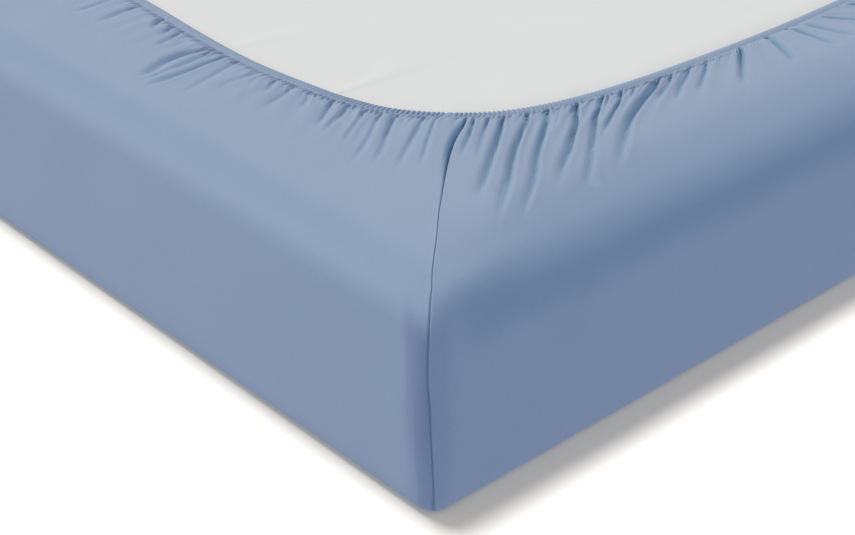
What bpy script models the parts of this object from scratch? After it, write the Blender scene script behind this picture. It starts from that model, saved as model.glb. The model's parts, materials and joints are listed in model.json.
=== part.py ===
"""A fitted sheet pulled over a plain mattress, lying with its gathered mouth upwards.

The sheet is one thin cloth: a flat base panel underneath, four sides, a border turned in
over the top and a narrow elasticated hem round the mouth. The border's gathers are listed
for one corner in two short tables, a row for each trough, and the other three corners
carry them again with small seeded differences. Metres, +Z up, origin at bottom centre.
"""

import math
import random
from collections import namedtuple

import bmesh
import bpy
from mathutils import Vector

# ---- driving sizes -------------------------------------------------------------------
WIDTH = 1.40  # across the mattress, along X
LENGTH = 2.00  # along the mattress, along Y
CLOTH = 0.002  # thickness of the cloth with its air
BORDER_TOP = 0.216  # top face of the border where it lies flat
BOW = 0.002  # how far each side swells out at its middle

CORNER_RADIUS = 0.018  # upright corners, in plan
TIP_RADIUS = 0.002  # the same corners where the border begins
EDGE_RADIUS = 0.028  # between the sides and the border
FOOT_RADIUS = 0.008  # between the sides and the base panel

HEM_WIDTH = 0.012  # the casing that holds the elastic
HEM_RISE = 0.0025  # its crown over the border
SEAM_DIAGONAL = 0.2685  # where the mouth crosses the corner's diagonal, from both sides
MOUTH_TURN = -1.0  # its slope there, square across the diagonal

UNDERLAY_GAP = 0.001  # from the border's troughs to the mattress below them
SIDE_GAP = 0.003  # from the cloth's sides to the mattress
BASE_GAP = 0.0003  # from the base panel to the mattress on it
MATTRESS_RADIUS = 0.024
MATTRESS_SEGMENTS = 4

CORNER_STEPS = 6
EDGE_STEPS = 4
FOOT_STEPS = 2
SHORT_SIDE_STEPS = 8
LONG_SIDE_STEPS = 10

CLOTH_COLOUR = (0.30, 0.40, 0.56, 1)
CLOTH_ROUGHNESS = 0.85
COVER_COLOUR = (0.70, 0.71, 0.72, 1)
COVER_ROUGHNESS = 0.9

UNEVEN_SEED = 7
UNEVEN_PLACE = 0.006  # how far a trough moves on the other corners
UNEVEN_RISE = 0.25  # and how much its ridge's height changes

# ---- tables --------------------------------------------------------------------------
# The mouth's inset from the side, by the distance from the upright corner.
MouthRow = namedtuple("MouthRow", "along inset")
MOUTH_SHORT = (
    MouthRow(SEAM_DIAGONAL, SEAM_DIAGONAL),
    MouthRow(0.305, 0.240),
    MouthRow(0.353, 0.220),
    MouthRow(0.410, 0.207),
    MouthRow(0.475, 0.199),
    MouthRow(0.575, 0.193),
    MouthRow(0.700, 0.190),
)
MOUTH_LONG = (
    MouthRow(SEAM_DIAGONAL, SEAM_DIAGONAL),
    MouthRow(0.308, 0.236),
    MouthRow(0.360, 0.217),
    MouthRow(0.426, 0.207),
    MouthRow(0.501, 0.201),
    MouthRow(0.593, 0.204),
    MouthRow(0.700, 0.213),
    MouthRow(0.850, 0.222),
    MouthRow(1.000, 0.226),
)

# Troughs between gathers: hem and edge are distances from the upright corner, at the hem
# and where the trough's line would reach the mattress's edge. rise is the height of the
# ridge that follows, and reach the part of the way across at which it has gone.
Trough = namedtuple("Trough", "hem edge rise reach")
SEAM = Trough(SEAM_DIAGONAL, EDGE_RADIUS, 0.0060, 0.60)
TROUGHS_SHORT = (
    Trough(0.300, 0.055, 0.0050, 0.62),
    Trough(0.322, 0.077, 0.0070, 0.75),
    Trough(0.356, 0.100, 0.0045, 0.85),
    Trough(0.374, 0.128, 0.0055, 0.90),
    Trough(0.390, 0.166, 0.0060, 0.88),
    Trough(0.418, 0.200, 0.0045, 0.90),
    Trough(0.440, 0.222, 0.0070, 0.65),
    Trough(0.488, 0.250, 0.0065, 0.85),
    Trough(0.526, 0.298, 0.0035, 0.70),
    Trough(0.550, 0.348, 0.0055, 0.65),
    Trough(0.598, 0.446, 0.0050, 0.70),
    Trough(0.650, 0.562, 0.0045, 0.60),
)
TROUGHS_LONG = (
    Trough(0.290, 0.128, 0.0040, 0.75),
    Trough(0.309, 0.176, 0.0040, 0.70),
    Trough(0.333, 0.234, 0.0050, 0.65),
    Trough(0.363, 0.275, 0.0045, 0.60),
    Trough(0.391, 0.316, 0.0040, 0.70),
    Trough(0.421, 0.355, 0.0045, 0.62),
    Trough(0.449, 0.388, 0.0040, 0.66),
    Trough(0.474, 0.427, 0.0050, 0.60),
    Trough(0.510, 0.470, 0.0040, 0.85),
    Trough(0.531, 0.511, 0.0035, 0.82),
    Trough(0.549, 0.534, 0.0040, 0.84),
    Trough(0.571, 0.560, 0.0060, 0.78),
    Trough(0.620, 0.596, 0.0050, 0.60),
    Trough(0.662, 0.633, 0.0045, 0.55),
    Trough(0.706, 0.680, 0.0050, 0.60),
    Trough(0.762, 0.738, 0.0055, 0.70),
    Trough(0.822, 0.803, 0.0045, 0.62),
    Trough(0.886, 0.876, 0.0055, 0.74),
    Trough(0.952, 0.948, 0.0050, 0.66),
)

# Rows across the border, as parts of the way from the hem to the mattress's edge.
BORDER_ROWS = (0.10, 0.28, 0.55, 0.90)
GATHER_RISES_BY = 0.12  # where a ridge reaches its full height
GATHER_HOLDS_TO = 0.22  # and where it begins to sink

# Corners in turn, counter-clockwise from above, as signs of X and Y.
CORNERS = ((-1, -1), (1, -1), (1, 1), (-1, 1))


def smooth(part):
    """Eases from 0 to 1 as part goes from 0 to 1."""
    part = min(max(part, 0.0), 1.0)
    return part * part * (3.0 - 2.0 * part)


def read_table(rows, along):
    """A mouth's inset at a distance from the corner, on a smooth line through its rows."""
    if along <= rows[0].along:
        return rows[0].inset
    last = len(rows) - 2
    index = next((i for i in range(last) if along < rows[i + 1].along), last)
    slopes = [
        (rows[i + 1].inset - rows[i].inset) / (rows[i + 1].along - rows[i].along)
        for i in range(len(rows) - 1)
    ]
    start, end = rows[index], rows[index + 1]
    step = end.along - start.along
    slope_in = MOUTH_TURN if index == 0 else (slopes[index - 1] + slopes[index]) / 2
    slope_out = 0.0 if index == last else (slopes[index] + slopes[index + 1]) / 2
    t = min((along - start.along) / step, 1.0)
    return (
        (2 * t**3 - 3 * t**2 + 1) * start.inset
        + (t**3 - 2 * t**2 + t) * step * slope_in
        + (3 * t**2 - 2 * t**3) * end.inset
        + (t**3 - t**2) * step * slope_out
    )


def place(corner, on_short, along, inset):
    """A point in plan, from its distances along and in from the sides at one corner."""
    from_x, from_y = (along, inset) if on_short else (inset, along)
    return Vector((corner[0] * (WIDTH / 2 - from_x), corner[1] * (LENGTH / 2 - from_y), 0))


# ---- the border's columns --------------------------------------------------------------
# A column runs from the mouth to the mattress's edge, along a trough or along a ridge.
Column = namedtuple("Column", "mouth edge rise reach")


def uneven(rows, draw):
    """The same troughs a little moved, for a corner that must not copy the first one."""
    if draw is None:
        return rows
    return tuple(
        Trough(
            row.hem + draw.uniform(-UNEVEN_PLACE, UNEVEN_PLACE),
            row.edge + draw.uniform(-UNEVEN_PLACE, UNEVEN_PLACE),
            row.rise * (1 + draw.uniform(-UNEVEN_RISE, UNEVEN_RISE)),
            row.reach,
        )
        for row in rows
    )


def run_of_columns(corner, on_short, draw):
    """Columns of one corner on one side, from its seam to the middle of the side."""
    table = TROUGHS_SHORT if on_short else TROUGHS_LONG
    mouth_rows = MOUTH_SHORT if on_short else MOUTH_LONG
    middle = (WIDTH if on_short else LENGTH) / 2
    rows = (SEAM,) + uneven(table, draw)
    last = rows[-1]
    ends = rows[1:] + (Trough(middle, middle, last.rise, last.reach),)
    columns = []
    for row, following in zip(rows, ends):
        ridge_hem = (row.hem + following.hem) / 2
        ridge_edge = (row.edge + following.edge) / 2
        for hem, edge, rise in ((row.hem, row.edge, 0.0), (ridge_hem, ridge_edge, row.rise)):
            mouth = place(corner, on_short, hem, read_table(mouth_rows, hem))
            foot = place(corner, on_short, edge, EDGE_RADIUS + bow_inset(edge, middle))
            columns.append(Column(mouth, foot, rise, row.reach))
    middle_row = place(corner, on_short, middle, read_table(mouth_rows, middle))
    middle_edge = place(corner, on_short, middle, EDGE_RADIUS)
    columns.append(Column(middle_row, middle_edge, 0.0, last.reach))
    return columns


def bow_inset(along, middle):
    """How far a side lies in from its middle, at a distance from the corner."""
    return BOW * (1 - min(along, middle) / middle) ** 2


def all_columns():
    """Every column of the border, once round."""
    columns = []
    for index, corner in enumerate(CORNERS):
        draw = random.Random(UNEVEN_SEED + index) if index else None
        short = run_of_columns(corner, True, draw)
        long = run_of_columns(corner, False, draw)
        # Going round, a corner is reached along one side and left along the other.
        arrive, leave = (long, short) if corner[0] * corner[1] > 0 else (short, long)
        columns += arrive[:0:-1] + leave[:-1]
    return columns


# ---- rings -----------------------------------------------------------------------------
def outline(inset, height):
    """One turn of the sheet's outline, set in from its sides, at a height."""
    radius = CORNER_RADIUS - (CORNER_RADIUS - TIP_RADIUS) * inset / EDGE_RADIUS
    ring = []
    for corner in CORNERS:
        centre = place(corner, True, inset + radius, inset + radius)
        centre -= Vector(corner + (0,)) * BOW
        start = math.atan2(corner[1], corner[0]) - math.pi / 4
        for step in range(CORNER_STEPS + 1):
            turn = start + math.pi / 2 * step / CORNER_STEPS
            ring.append(centre + radius * Vector((math.cos(turn), math.sin(turn), 0)))
        short_next = corner[0] * corner[1] > 0
        steps = SHORT_SIDE_STEPS if short_next else LONG_SIDE_STEPS
        following = CORNERS[(CORNERS.index(corner) + 1) % len(CORNERS)]
        outwards = Vector((0, corner[1], 0)) if short_next else Vector((corner[0], 0, 0))
        far = place(following, True, inset + radius, inset + radius)
        far -= Vector(following + (0,)) * BOW
        leaving = ring[-1]
        arriving = far + radius * outwards
        for step in range(1, steps):
            part = step / steps
            swell = BOW * 4 * part * (1 - part)
            ring.append(leaving.lerp(arriving, part) + outwards * swell)
    # The border's columns start at the middle of the left side, so this ring does too.
    start_at = len(ring) - LONG_SIDE_STEPS // 2
    ring = ring[start_at:] + ring[:start_at]
    return [Vector((point.x, point.y, height)) for point in ring]


def border_rings(columns):
    """Rings from the mouth's edge across the hem and the gathers, to the flat margin."""
    count = len(columns)
    outwards = []
    for index, column in enumerate(columns):
        before = columns[index - 1].mouth
        after = columns[(index + 1) % count].mouth
        tangent = (after - before).normalized()
        outwards.append(Vector((tangent.y, -tangent.x, 0)))
    rings = []
    for part, rise in ((0.0, 0.0), (0.5, HEM_RISE), (1.0, 0.0)):
        rings.append(
            [
                column.mouth + way * HEM_WIDTH * part + Vector((0, 0, BORDER_TOP + rise))
                for column, way in zip(columns, outwards)
            ]
        )
    for part in BORDER_ROWS:
        ring = []
        for column, way in zip(columns, outwards):
            start = column.mouth + way * HEM_WIDTH
            point = start.lerp(column.edge, part)
            sinking = (part - GATHER_HOLDS_TO) / (column.reach - GATHER_HOLDS_TO)
            height = column.rise * smooth(part / GATHER_RISES_BY) * (1 - smooth(sinking))
            ring.append(point + Vector((0, 0, BORDER_TOP + height)))
        rings.append(ring)
    return rings


def side_rings():
    """Rings over the edge, down the sides and round the foot to the base panel."""
    rings = []
    for step in range(EDGE_STEPS + 1):
        turn = math.pi / 2 * step / EDGE_STEPS
        inset = EDGE_RADIUS * (1 - math.sin(turn))
        rings.append(outline(inset, BORDER_TOP - EDGE_RADIUS * (1 - math.cos(turn))))
    for step in range(FOOT_STEPS + 1):
        turn = math.pi / 2 * step / FOOT_STEPS
        inset = FOOT_RADIUS * (1 - math.cos(turn))
        rings.append(outline(inset, FOOT_RADIUS * (1 - math.sin(turn))))
    return rings


# ---- meshes ----------------------------------------------------------------------------
def add_ring(mesh, ring):
    """The ring's points as vertices."""
    return [mesh.verts.new(point) for point in ring]


def join_equal(mesh, inner, outer):
    """Quads between two rings of as many points."""
    for index in range(len(inner)):
        after = (index + 1) % len(inner)
        mesh.faces.new((inner[index], outer[index], outer[after], inner[after]))


def join_unlike(mesh, inner, outer):
    """Triangles between two rings of different counts, across the shorter diagonal."""
    i = j = 0
    while i < len(inner) or j < len(outer):
        here, there = inner[i % len(inner)], outer[j % len(outer)]
        next_i, next_j = inner[(i + 1) % len(inner)], outer[(j + 1) % len(outer)]
        inner_first = (next_i.co - there.co).length <= (next_j.co - here.co).length
        if j == len(outer) or (i < len(inner) and inner_first):
            mesh.faces.new((here, there, next_i))
            i += 1
        else:
            mesh.faces.new((here, there, next_j))
            j += 1


def finish(name, mesh, material, collection):
    """An object of the parts collection, from a bmesh."""
    data = bpy.data.meshes.new(name)
    mesh.to_mesh(data)
    mesh.free()
    data.materials.append(material)
    obj = bpy.data.objects.new(name, data)
    collection.objects.link(obj)
    return obj


def plain_material(name, colour, roughness):
    """A Principled BSDF of one colour."""
    material = bpy.data.materials.new(name)
    material.use_nodes = True
    shader = material.node_tree.nodes["Principled BSDF"]
    shader.inputs["Base Color"].default_value = colour
    shader.inputs["Roughness"].default_value = roughness
    shader.inputs["Metallic"].default_value = 0.0
    return material


def make_sheet(collection):
    """The one cloth: hem, gathered border, edge, sides, foot and base panel."""
    mesh = bmesh.new()
    border = [add_ring(mesh, ring) for ring in border_rings(all_columns())]
    sides = [add_ring(mesh, ring) for ring in side_rings()]
    for inner, outer in zip(border, border[1:]):
        join_equal(mesh, inner, outer)
    join_unlike(mesh, border[-1], sides[0])
    for inner, outer in zip(sides, sides[1:]):
        join_equal(mesh, inner, outer)
    mesh.faces.new(sides[-1][::-1])
    blue = plain_material("cotton_blue", CLOTH_COLOUR, CLOTH_ROUGHNESS)
    sheet = finish("sheet", mesh, blue, collection)
    wall = sheet.modifiers.new("cloth", "SOLIDIFY")
    wall.thickness = CLOTH
    wall.offset = -1
    wall.use_even_offset = True
    sheet.data.shade_smooth()
    return sheet


def make_mattress(collection):
    """The plain block that the sheet fits over, standing on the base panel."""
    low = CLOTH + BASE_GAP
    high = BORDER_TOP - CLOTH - UNDERLAY_GAP
    inset = BOW + CLOTH + SIDE_GAP
    mesh = bmesh.new()
    bmesh.ops.create_cube(mesh, size=1.0)
    size = Vector((WIDTH - 2 * inset, LENGTH - 2 * inset, high - low))
    bmesh.ops.scale(mesh, vec=size, verts=mesh.verts)
    bmesh.ops.translate(mesh, vec=(0, 0, (high + low) / 2), verts=mesh.verts)
    white = plain_material("cover_white", COVER_COLOUR, COVER_ROUGHNESS)
    mattress = finish("mattress", mesh, white, collection)
    rounded = mattress.modifiers.new("rounded", "BEVEL")
    rounded.width = MATTRESS_RADIUS
    rounded.segments = MATTRESS_SEGMENTS
    mattress.data.shade_smooth()
    return mattress


def main():
    for obj in list(bpy.data.objects):
        bpy.data.objects.remove(obj, do_unlink=True)
    parts = bpy.data.collections.new("fitted_sheet_on_mattress")
    bpy.context.scene.collection.children.link(parts)
    make_sheet(parts)
    make_mattress(parts)


main()
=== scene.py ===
"""Looks of a fitted sheet that is pulled over a mattress lying underside up.

The cloth is one open surface: it starts at the stitch line round the mouth, runs out over
the gathered border, rolls over the mattress's edge, goes down the sides and closes with the
base panel. The elastic's casing is a crimped band on the mouth. The tables are set in
millimetres and mostly from the nearest upright corner. All else is in metres, +Z up.
"""

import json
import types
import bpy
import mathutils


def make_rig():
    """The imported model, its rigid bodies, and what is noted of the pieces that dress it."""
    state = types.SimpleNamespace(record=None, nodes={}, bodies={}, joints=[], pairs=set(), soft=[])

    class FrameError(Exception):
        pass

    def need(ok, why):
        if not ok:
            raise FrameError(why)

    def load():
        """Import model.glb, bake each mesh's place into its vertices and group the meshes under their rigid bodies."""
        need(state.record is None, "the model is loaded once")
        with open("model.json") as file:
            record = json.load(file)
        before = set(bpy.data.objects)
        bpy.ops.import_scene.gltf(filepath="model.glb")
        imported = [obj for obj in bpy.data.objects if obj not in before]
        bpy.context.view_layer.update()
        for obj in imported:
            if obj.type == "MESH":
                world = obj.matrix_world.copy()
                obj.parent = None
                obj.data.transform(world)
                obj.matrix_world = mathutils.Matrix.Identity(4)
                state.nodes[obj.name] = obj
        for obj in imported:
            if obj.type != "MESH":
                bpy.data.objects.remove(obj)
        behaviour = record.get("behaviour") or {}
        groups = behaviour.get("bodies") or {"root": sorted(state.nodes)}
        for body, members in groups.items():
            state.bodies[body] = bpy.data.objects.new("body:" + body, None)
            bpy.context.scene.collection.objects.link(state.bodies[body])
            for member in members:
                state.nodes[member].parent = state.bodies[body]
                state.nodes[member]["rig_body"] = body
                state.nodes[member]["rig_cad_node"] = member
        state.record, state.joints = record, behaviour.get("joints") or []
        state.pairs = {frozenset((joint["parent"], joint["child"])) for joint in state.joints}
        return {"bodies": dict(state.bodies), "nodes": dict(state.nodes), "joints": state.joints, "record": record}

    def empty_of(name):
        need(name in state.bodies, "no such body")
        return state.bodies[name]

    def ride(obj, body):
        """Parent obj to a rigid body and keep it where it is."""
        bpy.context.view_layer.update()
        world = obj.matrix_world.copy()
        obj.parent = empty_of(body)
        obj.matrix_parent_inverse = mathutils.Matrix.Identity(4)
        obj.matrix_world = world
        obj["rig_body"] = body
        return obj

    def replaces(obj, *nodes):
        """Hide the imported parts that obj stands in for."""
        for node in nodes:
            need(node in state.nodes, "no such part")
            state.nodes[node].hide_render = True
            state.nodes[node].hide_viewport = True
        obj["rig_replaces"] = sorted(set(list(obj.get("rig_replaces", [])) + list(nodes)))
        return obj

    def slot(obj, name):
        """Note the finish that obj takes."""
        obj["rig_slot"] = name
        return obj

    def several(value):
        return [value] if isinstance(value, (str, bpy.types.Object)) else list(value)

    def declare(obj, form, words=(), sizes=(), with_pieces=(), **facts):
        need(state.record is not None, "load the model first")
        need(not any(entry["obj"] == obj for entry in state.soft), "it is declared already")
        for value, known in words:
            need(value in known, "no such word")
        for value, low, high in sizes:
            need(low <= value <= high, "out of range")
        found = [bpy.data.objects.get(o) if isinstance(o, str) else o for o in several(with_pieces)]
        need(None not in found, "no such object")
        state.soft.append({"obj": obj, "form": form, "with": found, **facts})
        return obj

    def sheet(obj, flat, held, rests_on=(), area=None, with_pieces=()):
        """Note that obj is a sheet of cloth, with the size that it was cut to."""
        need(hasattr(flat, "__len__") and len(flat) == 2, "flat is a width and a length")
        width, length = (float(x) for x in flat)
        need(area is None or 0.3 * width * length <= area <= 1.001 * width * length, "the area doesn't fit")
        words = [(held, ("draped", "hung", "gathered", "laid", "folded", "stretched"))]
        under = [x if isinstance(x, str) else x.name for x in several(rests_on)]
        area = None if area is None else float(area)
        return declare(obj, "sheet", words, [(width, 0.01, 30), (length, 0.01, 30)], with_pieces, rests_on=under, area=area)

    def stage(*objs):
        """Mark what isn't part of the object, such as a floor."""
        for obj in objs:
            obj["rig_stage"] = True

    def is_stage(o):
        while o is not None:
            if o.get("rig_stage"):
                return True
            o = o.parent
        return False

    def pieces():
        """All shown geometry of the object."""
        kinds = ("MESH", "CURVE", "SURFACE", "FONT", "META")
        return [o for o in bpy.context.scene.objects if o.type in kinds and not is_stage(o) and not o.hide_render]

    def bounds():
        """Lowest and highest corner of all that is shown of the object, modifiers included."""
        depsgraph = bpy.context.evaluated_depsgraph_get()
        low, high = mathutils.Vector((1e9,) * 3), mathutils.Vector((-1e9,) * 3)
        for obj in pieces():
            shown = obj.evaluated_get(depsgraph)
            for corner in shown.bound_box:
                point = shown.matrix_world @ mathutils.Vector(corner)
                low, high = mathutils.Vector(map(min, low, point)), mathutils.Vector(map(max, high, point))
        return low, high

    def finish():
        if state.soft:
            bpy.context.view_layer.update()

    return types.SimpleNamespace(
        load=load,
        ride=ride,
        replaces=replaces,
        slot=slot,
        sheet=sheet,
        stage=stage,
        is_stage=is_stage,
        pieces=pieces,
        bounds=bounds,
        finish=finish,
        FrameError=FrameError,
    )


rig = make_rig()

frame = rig.load()
CAD_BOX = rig.bounds()

import json
import logging
import math
from dataclasses import dataclass
from enum import Enum
from typing import Callable, NamedTuple, Sequence

import bpy
import numpy as np
from bpy.types import ID, GeometryNodeTree, Material, Node, NodeSocket, Object
from mathutils import Matrix, Vector

LOG = logging.getLogger("fitted_sheet")
MM = 0.001
TINY = 1e-9
Array = np.ndarray
Triple = tuple[float, float, float]
Steps = tuple[float, ...]
Value = float | tuple[float, ...] | NodeSocket


# ---- tables ----
def table(kind: Callable[..., tuple], *rows: tuple) -> tuple:
    """Rows of one kind, which names their columns."""
    return tuple(kind(*row) for row in rows)


class Side(Enum):
    """The two kinds of side that meet at an upright corner."""

    SHORT = "short"
    LONG = "long"


class MouthRow(NamedTuple):
    """A point of the mouth's edge, by its distances along and in from a side, mm."""

    along: float
    inset: float


MOUTH = {
    Side.SHORT: table(
        MouthRow,
        (268.5, 268.5), (305, 240), (353, 220), (410, 207), (475, 199), (575, 193), (700, 190),
    ),
    Side.LONG: table(
        MouthRow,
        (268.5, 268.5), (308, 236), (360, 217), (426, 207), (501, 201), (593, 204), (700, 213),
        (850, 222), (1000, 226),
    ),
}


class ThreadRow(NamedTuple):
    """Cloth that leaves the hem at one place reaches the mattress's edge at another, mm."""

    hem: float
    edge: float


THREADS = {
    Side.SHORT: table(
        ThreadRow,
        (305, 50), (351, 100), (406, 165), (460, 232), (520, 320), (585, 430), (650, 575),
        (700, 700),
    ),
    Side.LONG: table(
        ThreadRow,
        (268.5, 70), (297, 135), (333, 195), (368, 250), (400, 302), (450, 392), (500, 478),
        (540, 528), (600, 582), (660, 645), (750, 742), (850, 847), (1000, 1000),
    ),
}


class Crease(NamedTuple):
    """A trough in the border, from the hem outwards.

    deep is its depth, left and right are how far its two walls reach, seen from the foot:
    the left one is soft, the right one steep. The line holds (along, inset) points of its
    darkest part, low on the soft wall. All in mm.
    """

    deep: float
    left: float
    right: float
    line: tuple[tuple[float, float], ...]


CREASES = {
    Side.SHORT: table(
        Crease,
        (2.4, 3.5, 1.4, ((273, 241), (256, 226), (233, 208), (211, 192), (193, 178))),
        (2.0, 4.0, 1.6, ((285, 233), (266, 217), (243, 199), (221, 180), (200, 163))),
        (4.2, 8.0, 1.7, (
            (300, 226), (282, 211), (272, 202), (255, 188), (237, 174), (212, 155), (179, 130),
            (145, 106),
        )),
        (4.0, 8.5, 1.8, (
            (323, 215), (300, 195), (285, 185), (270, 174), (252, 161), (227, 141), (196, 114),
            (172, 96), (151, 80), (133, 67),
        )),
        (3.2, 8.5, 1.8, (
            (346, 210), (315, 182), (304, 173), (286, 159), (269, 146), (244, 126), (213, 99),
            (189, 82), (168, 67), (154, 57),
        )),
        (1.4, 3.0, 1.4, ((361, 206), (344, 193), (326, 178), (307, 164))),
        (3.9, 8.5, 1.8, (
            (375, 197), (357, 181), (326, 153), (308, 140), (291, 126), (263, 108), (230, 83),
            (219, 76),
        )),
        (3.2, 6.5, 1.8, (
            (411, 194), (393, 181), (377, 169), (361, 159), (340, 141), (319, 123), (299, 107),
            (277, 88), (249, 66), (230, 52),
        )),
        (1.2, 2.2, 1.2, ((416, 192), (393, 174), (373, 160))),
        (3.0, 5.0, 1.6, ((434, 190), (406, 168), (389, 158), (372, 148), (354, 137), (329, 121))),
        (1.2, 2.4, 1.2, ((448, 193), (427, 179), (410, 168))),
        (1.2, 2.4, 1.2, ((457, 192), (429, 171), (413, 159))),
        (4.0, 9.5, 2.0, (
            (492, 185), (477, 178), (459, 167), (439, 158), (422, 151), (406, 143), (388, 134),
            (370, 123), (349, 108), (328, 93), (310, 80), (288, 66),
        )),
        (2.0, 4.0, 1.6, ((503, 182), (473, 161), (451, 151), (429, 141))),
        (2.2, 5.0, 1.8, ((536, 184), (502, 162), (481, 151), (461, 138), (439, 123))),
        (2.0, 5.0, 1.8, ((555, 178), (522, 154), (498, 139), (473, 121))),
        (3.0, 6.0, 3.0, ((605, 172), (565, 140), (520, 103))),
        (3.0, 7.0, 3.5, ((655, 174), (632, 138), (607, 100))),
        (2.5, 6.0, 3.0, ((692, 176), (686, 138), (680, 96))),
    ),
    Side.LONG: table(
        Crease,
        (2.6, 3.6, 2.0, (
            (265, 246), (261, 238), (248, 222), (236, 207), (225, 194), (211, 178), (194, 159),
        )),
        (2.4, 4.2, 2.4, (
            (275, 239), (271, 230), (257, 211), (247, 196), (236, 181), (224, 163), (209, 143),
            (201, 132),
        )),
        (1.6, 2.4, 1.6, ((287, 233), (281, 226), (273, 213), (264, 200))),
        (2.6, 3.6, 2.2, (
            (300, 225), (293, 212), (285, 201), (276, 190), (265, 176), (253, 163), (240, 145),
            (226, 124),
        )),
        (2.6, 3.6, 2.4, (
            (316, 222), (310, 210), (304, 200), (296, 189), (287, 178), (276, 164), (266, 149),
            (253, 128), (245, 115),
        )),
        (2.4, 3.2, 2.4, (
            (330, 210), (324, 199), (316, 187), (308, 175), (301, 163), (289, 146), (279, 131),
        )),
        (2.6, 3.6, 2.6, ((351, 205), (340, 188), (334, 177), (329, 165), (323, 152), (314, 135))),
        (2.3, 3.4, 2.2, ((370, 201), (364, 190), (352, 174), (341, 159), (329, 142))),
        (1.5, 2.4, 1.6, ((394, 200), (386, 188), (375, 178), (367, 166))),
        (1.8, 3.0, 2.0, ((403, 198), (395, 185), (382, 170), (372, 156))),
        (2.2, 3.4, 2.6, ((423, 195), (420, 183), (415, 173), (411, 164), (406, 147), (401, 132))),
        (2.2, 3.2, 2.4, ((448, 194), (447, 183), (437, 168), (428, 151))),
        (0.8, 5.0, 3.0, ((450, 152), (433, 129))),
        (1.2, 6.0, 3.6, ((473, 164), (472, 137), (462, 117))),
        (1.0, 2.0, 1.2, ((489, 184), (488, 176))),
        (1.8, 6.0, 3.6, ((507, 167), (496, 129), (485, 90))),
        (1.2, 2.5, 1.5, ((513, 184), (510, 170))),
        (3.3, 5.0, 3.0, ((530, 181), (530, 158), (527, 129), (529, 90), (531, 68))),
        (3.0, 3.0, 1.8, ((551, 178), (546, 158), (543, 129), (543, 93), (545, 70))),
        (4.4, 8.0, 4.8, ((559, 181), (567, 152), (565, 125), (555, 98), (551, 76))),
        (1.0, 4.0, 2.4, ((590, 158), (587, 142))),
        (3.2, 5.0, 3.0, ((622, 190), (613, 167), (604, 136))),
        (2.8, 4.0, 2.4, ((642, 192), (632, 173), (626, 157))),
        (3.2, 5.0, 3.0, ((664, 187), (655, 173), (645, 160))),
        (1.6, 3.0, 1.8, ((683, 199), (679, 187))),
        (2.8, 5.0, 3.0, ((716, 196), (712, 160), (704, 128))),
        (2.4, 6.0, 3.6, ((760, 205), (752, 165), (748, 120))),
        (3.2, 6.0, 3.6, ((812, 210), (806, 172), (796, 126))),
        (2.0, 5.0, 3.0, ((866, 212), (862, 178), (858, 140))),
        (3.2, 7.0, 4.2, ((925, 214), (921, 170), (914, 118))),
        (2.4, 5.0, 3.0, ((975, 216), (972, 180), (968, 136))),
    ),
}


class CrimpRow(NamedTuple):
    """How the hem puckers at a place, in mm along the mouth from the corner's diagonal.

    Places on the long side are negative. casing and below are shares of the full crimp, on
    the band and on the cloth next to it; slant is how far a crimp leans over the band.
    """

    place: float
    casing: float
    below: float
    slant: float


CRIMPS = table(
    CrimpRow,
    (-800, 0.15, 0.6, 0.0),
    (-460, 0.2, 0.45, -0.3),
    (-330, 0.25, 0.52, -0.4),
    (-240, 0.24, 0.62, -0.4),
    (-165, 0.32, 0.85, -0.5),
    (-135, 0.5, 1.0, -0.5),
    (-85, 0.65, 1.15, -0.45),
    (-60, 0.85, 1.25, -0.4),
    (-8, 0.85, 1.15, -0.35),
    (0, 0.25, 0.3, -0.3),
    (10, 0.75, 1.15, -0.4),
    (35, 0.62, 1.15, -0.3),
    (60, 0.42, 1.1, -0.3),
    (110, 0.32, 1.0, -0.3),
    (160, 0.28, 0.9, -0.3),
    (260, 0.18, 0.75, -0.2),
    (500, 0.15, 0.6, 0.0),
)


class HeightRow(NamedTuple):
    """A value that changes with the height over the floor, which is in mm."""

    height: float
    value: float


# How far the corner seam strays to the short side, in mm.
SEAM_ON_SIDE = table(
    HeightRow,
    (0, 1.0), (24, 1.0), (59, -0.2), (92, -1.4), (117, -2.1), (133, -3.4), (157, -4.0), (176, -3.5),
    (204, -3.2), (216, -3.6),
)

# The seam allowance turned in behind an upright corner: how wide it shows on the long side
# and how soft its edge is, in mm, and how strongly it shows, from 0 to 1.
ALLOWANCE_WIDTH = table(HeightRow, (0, 24), (60, 25), (110, 26), (150, 25), (190, 29))
ALLOWANCE_SOFT = table(HeightRow, (0, 24), (18, 24), (60, 20), (110, 16))
ALLOWANCE_SHARE = table(HeightRow, (0, 0.45), (25, 0.6), (60, 0.8), (95, 1))


class SeamPart(NamedTuple):
    """The seam's stray on the border: part is the way from the hem to the edge, stray in mm."""

    part: float
    stray: float


SEAM_ON_BORDER = table(
    SeamPart,
    (0.0, 0.0), (0.04, -3.0), (0.1, -4.9), (0.17, -8.5), (0.24, -11.0), (0.325, -11.6),
    (0.42, -11.2), (0.57, -9.9), (0.65, -9.2), (0.78, -7.0), (0.94, -5.4), (1.0, -3.6),
)


class FoldRow(NamedTuple):
    """The fold that the border's seam lies in: its depth and the reach of its two walls, mm.

    The part is the way from the hem to the edge. The left wall is on the long side.
    """

    part: float
    deep: float
    left: float
    right: float


SEAM_FOLD = table(
    FoldRow,
    (0.0, 1.5, 4.0, 1.0),
    (0.05, 3.8, 6.0, 1.1),
    (0.105, 7.0, 9.5, 1.4),
    (0.175, 7.4, 9.0, 1.4),
    (0.24, 6.6, 8.0, 1.4),
    (0.34, 4.6, 6.2, 1.2),
    (0.46, 2.0, 3.8, 1.0),
    (0.6, 0.3, 2.5, 0.9),
    (1.0, 0.0, 2.0, 0.9),
)

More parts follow.
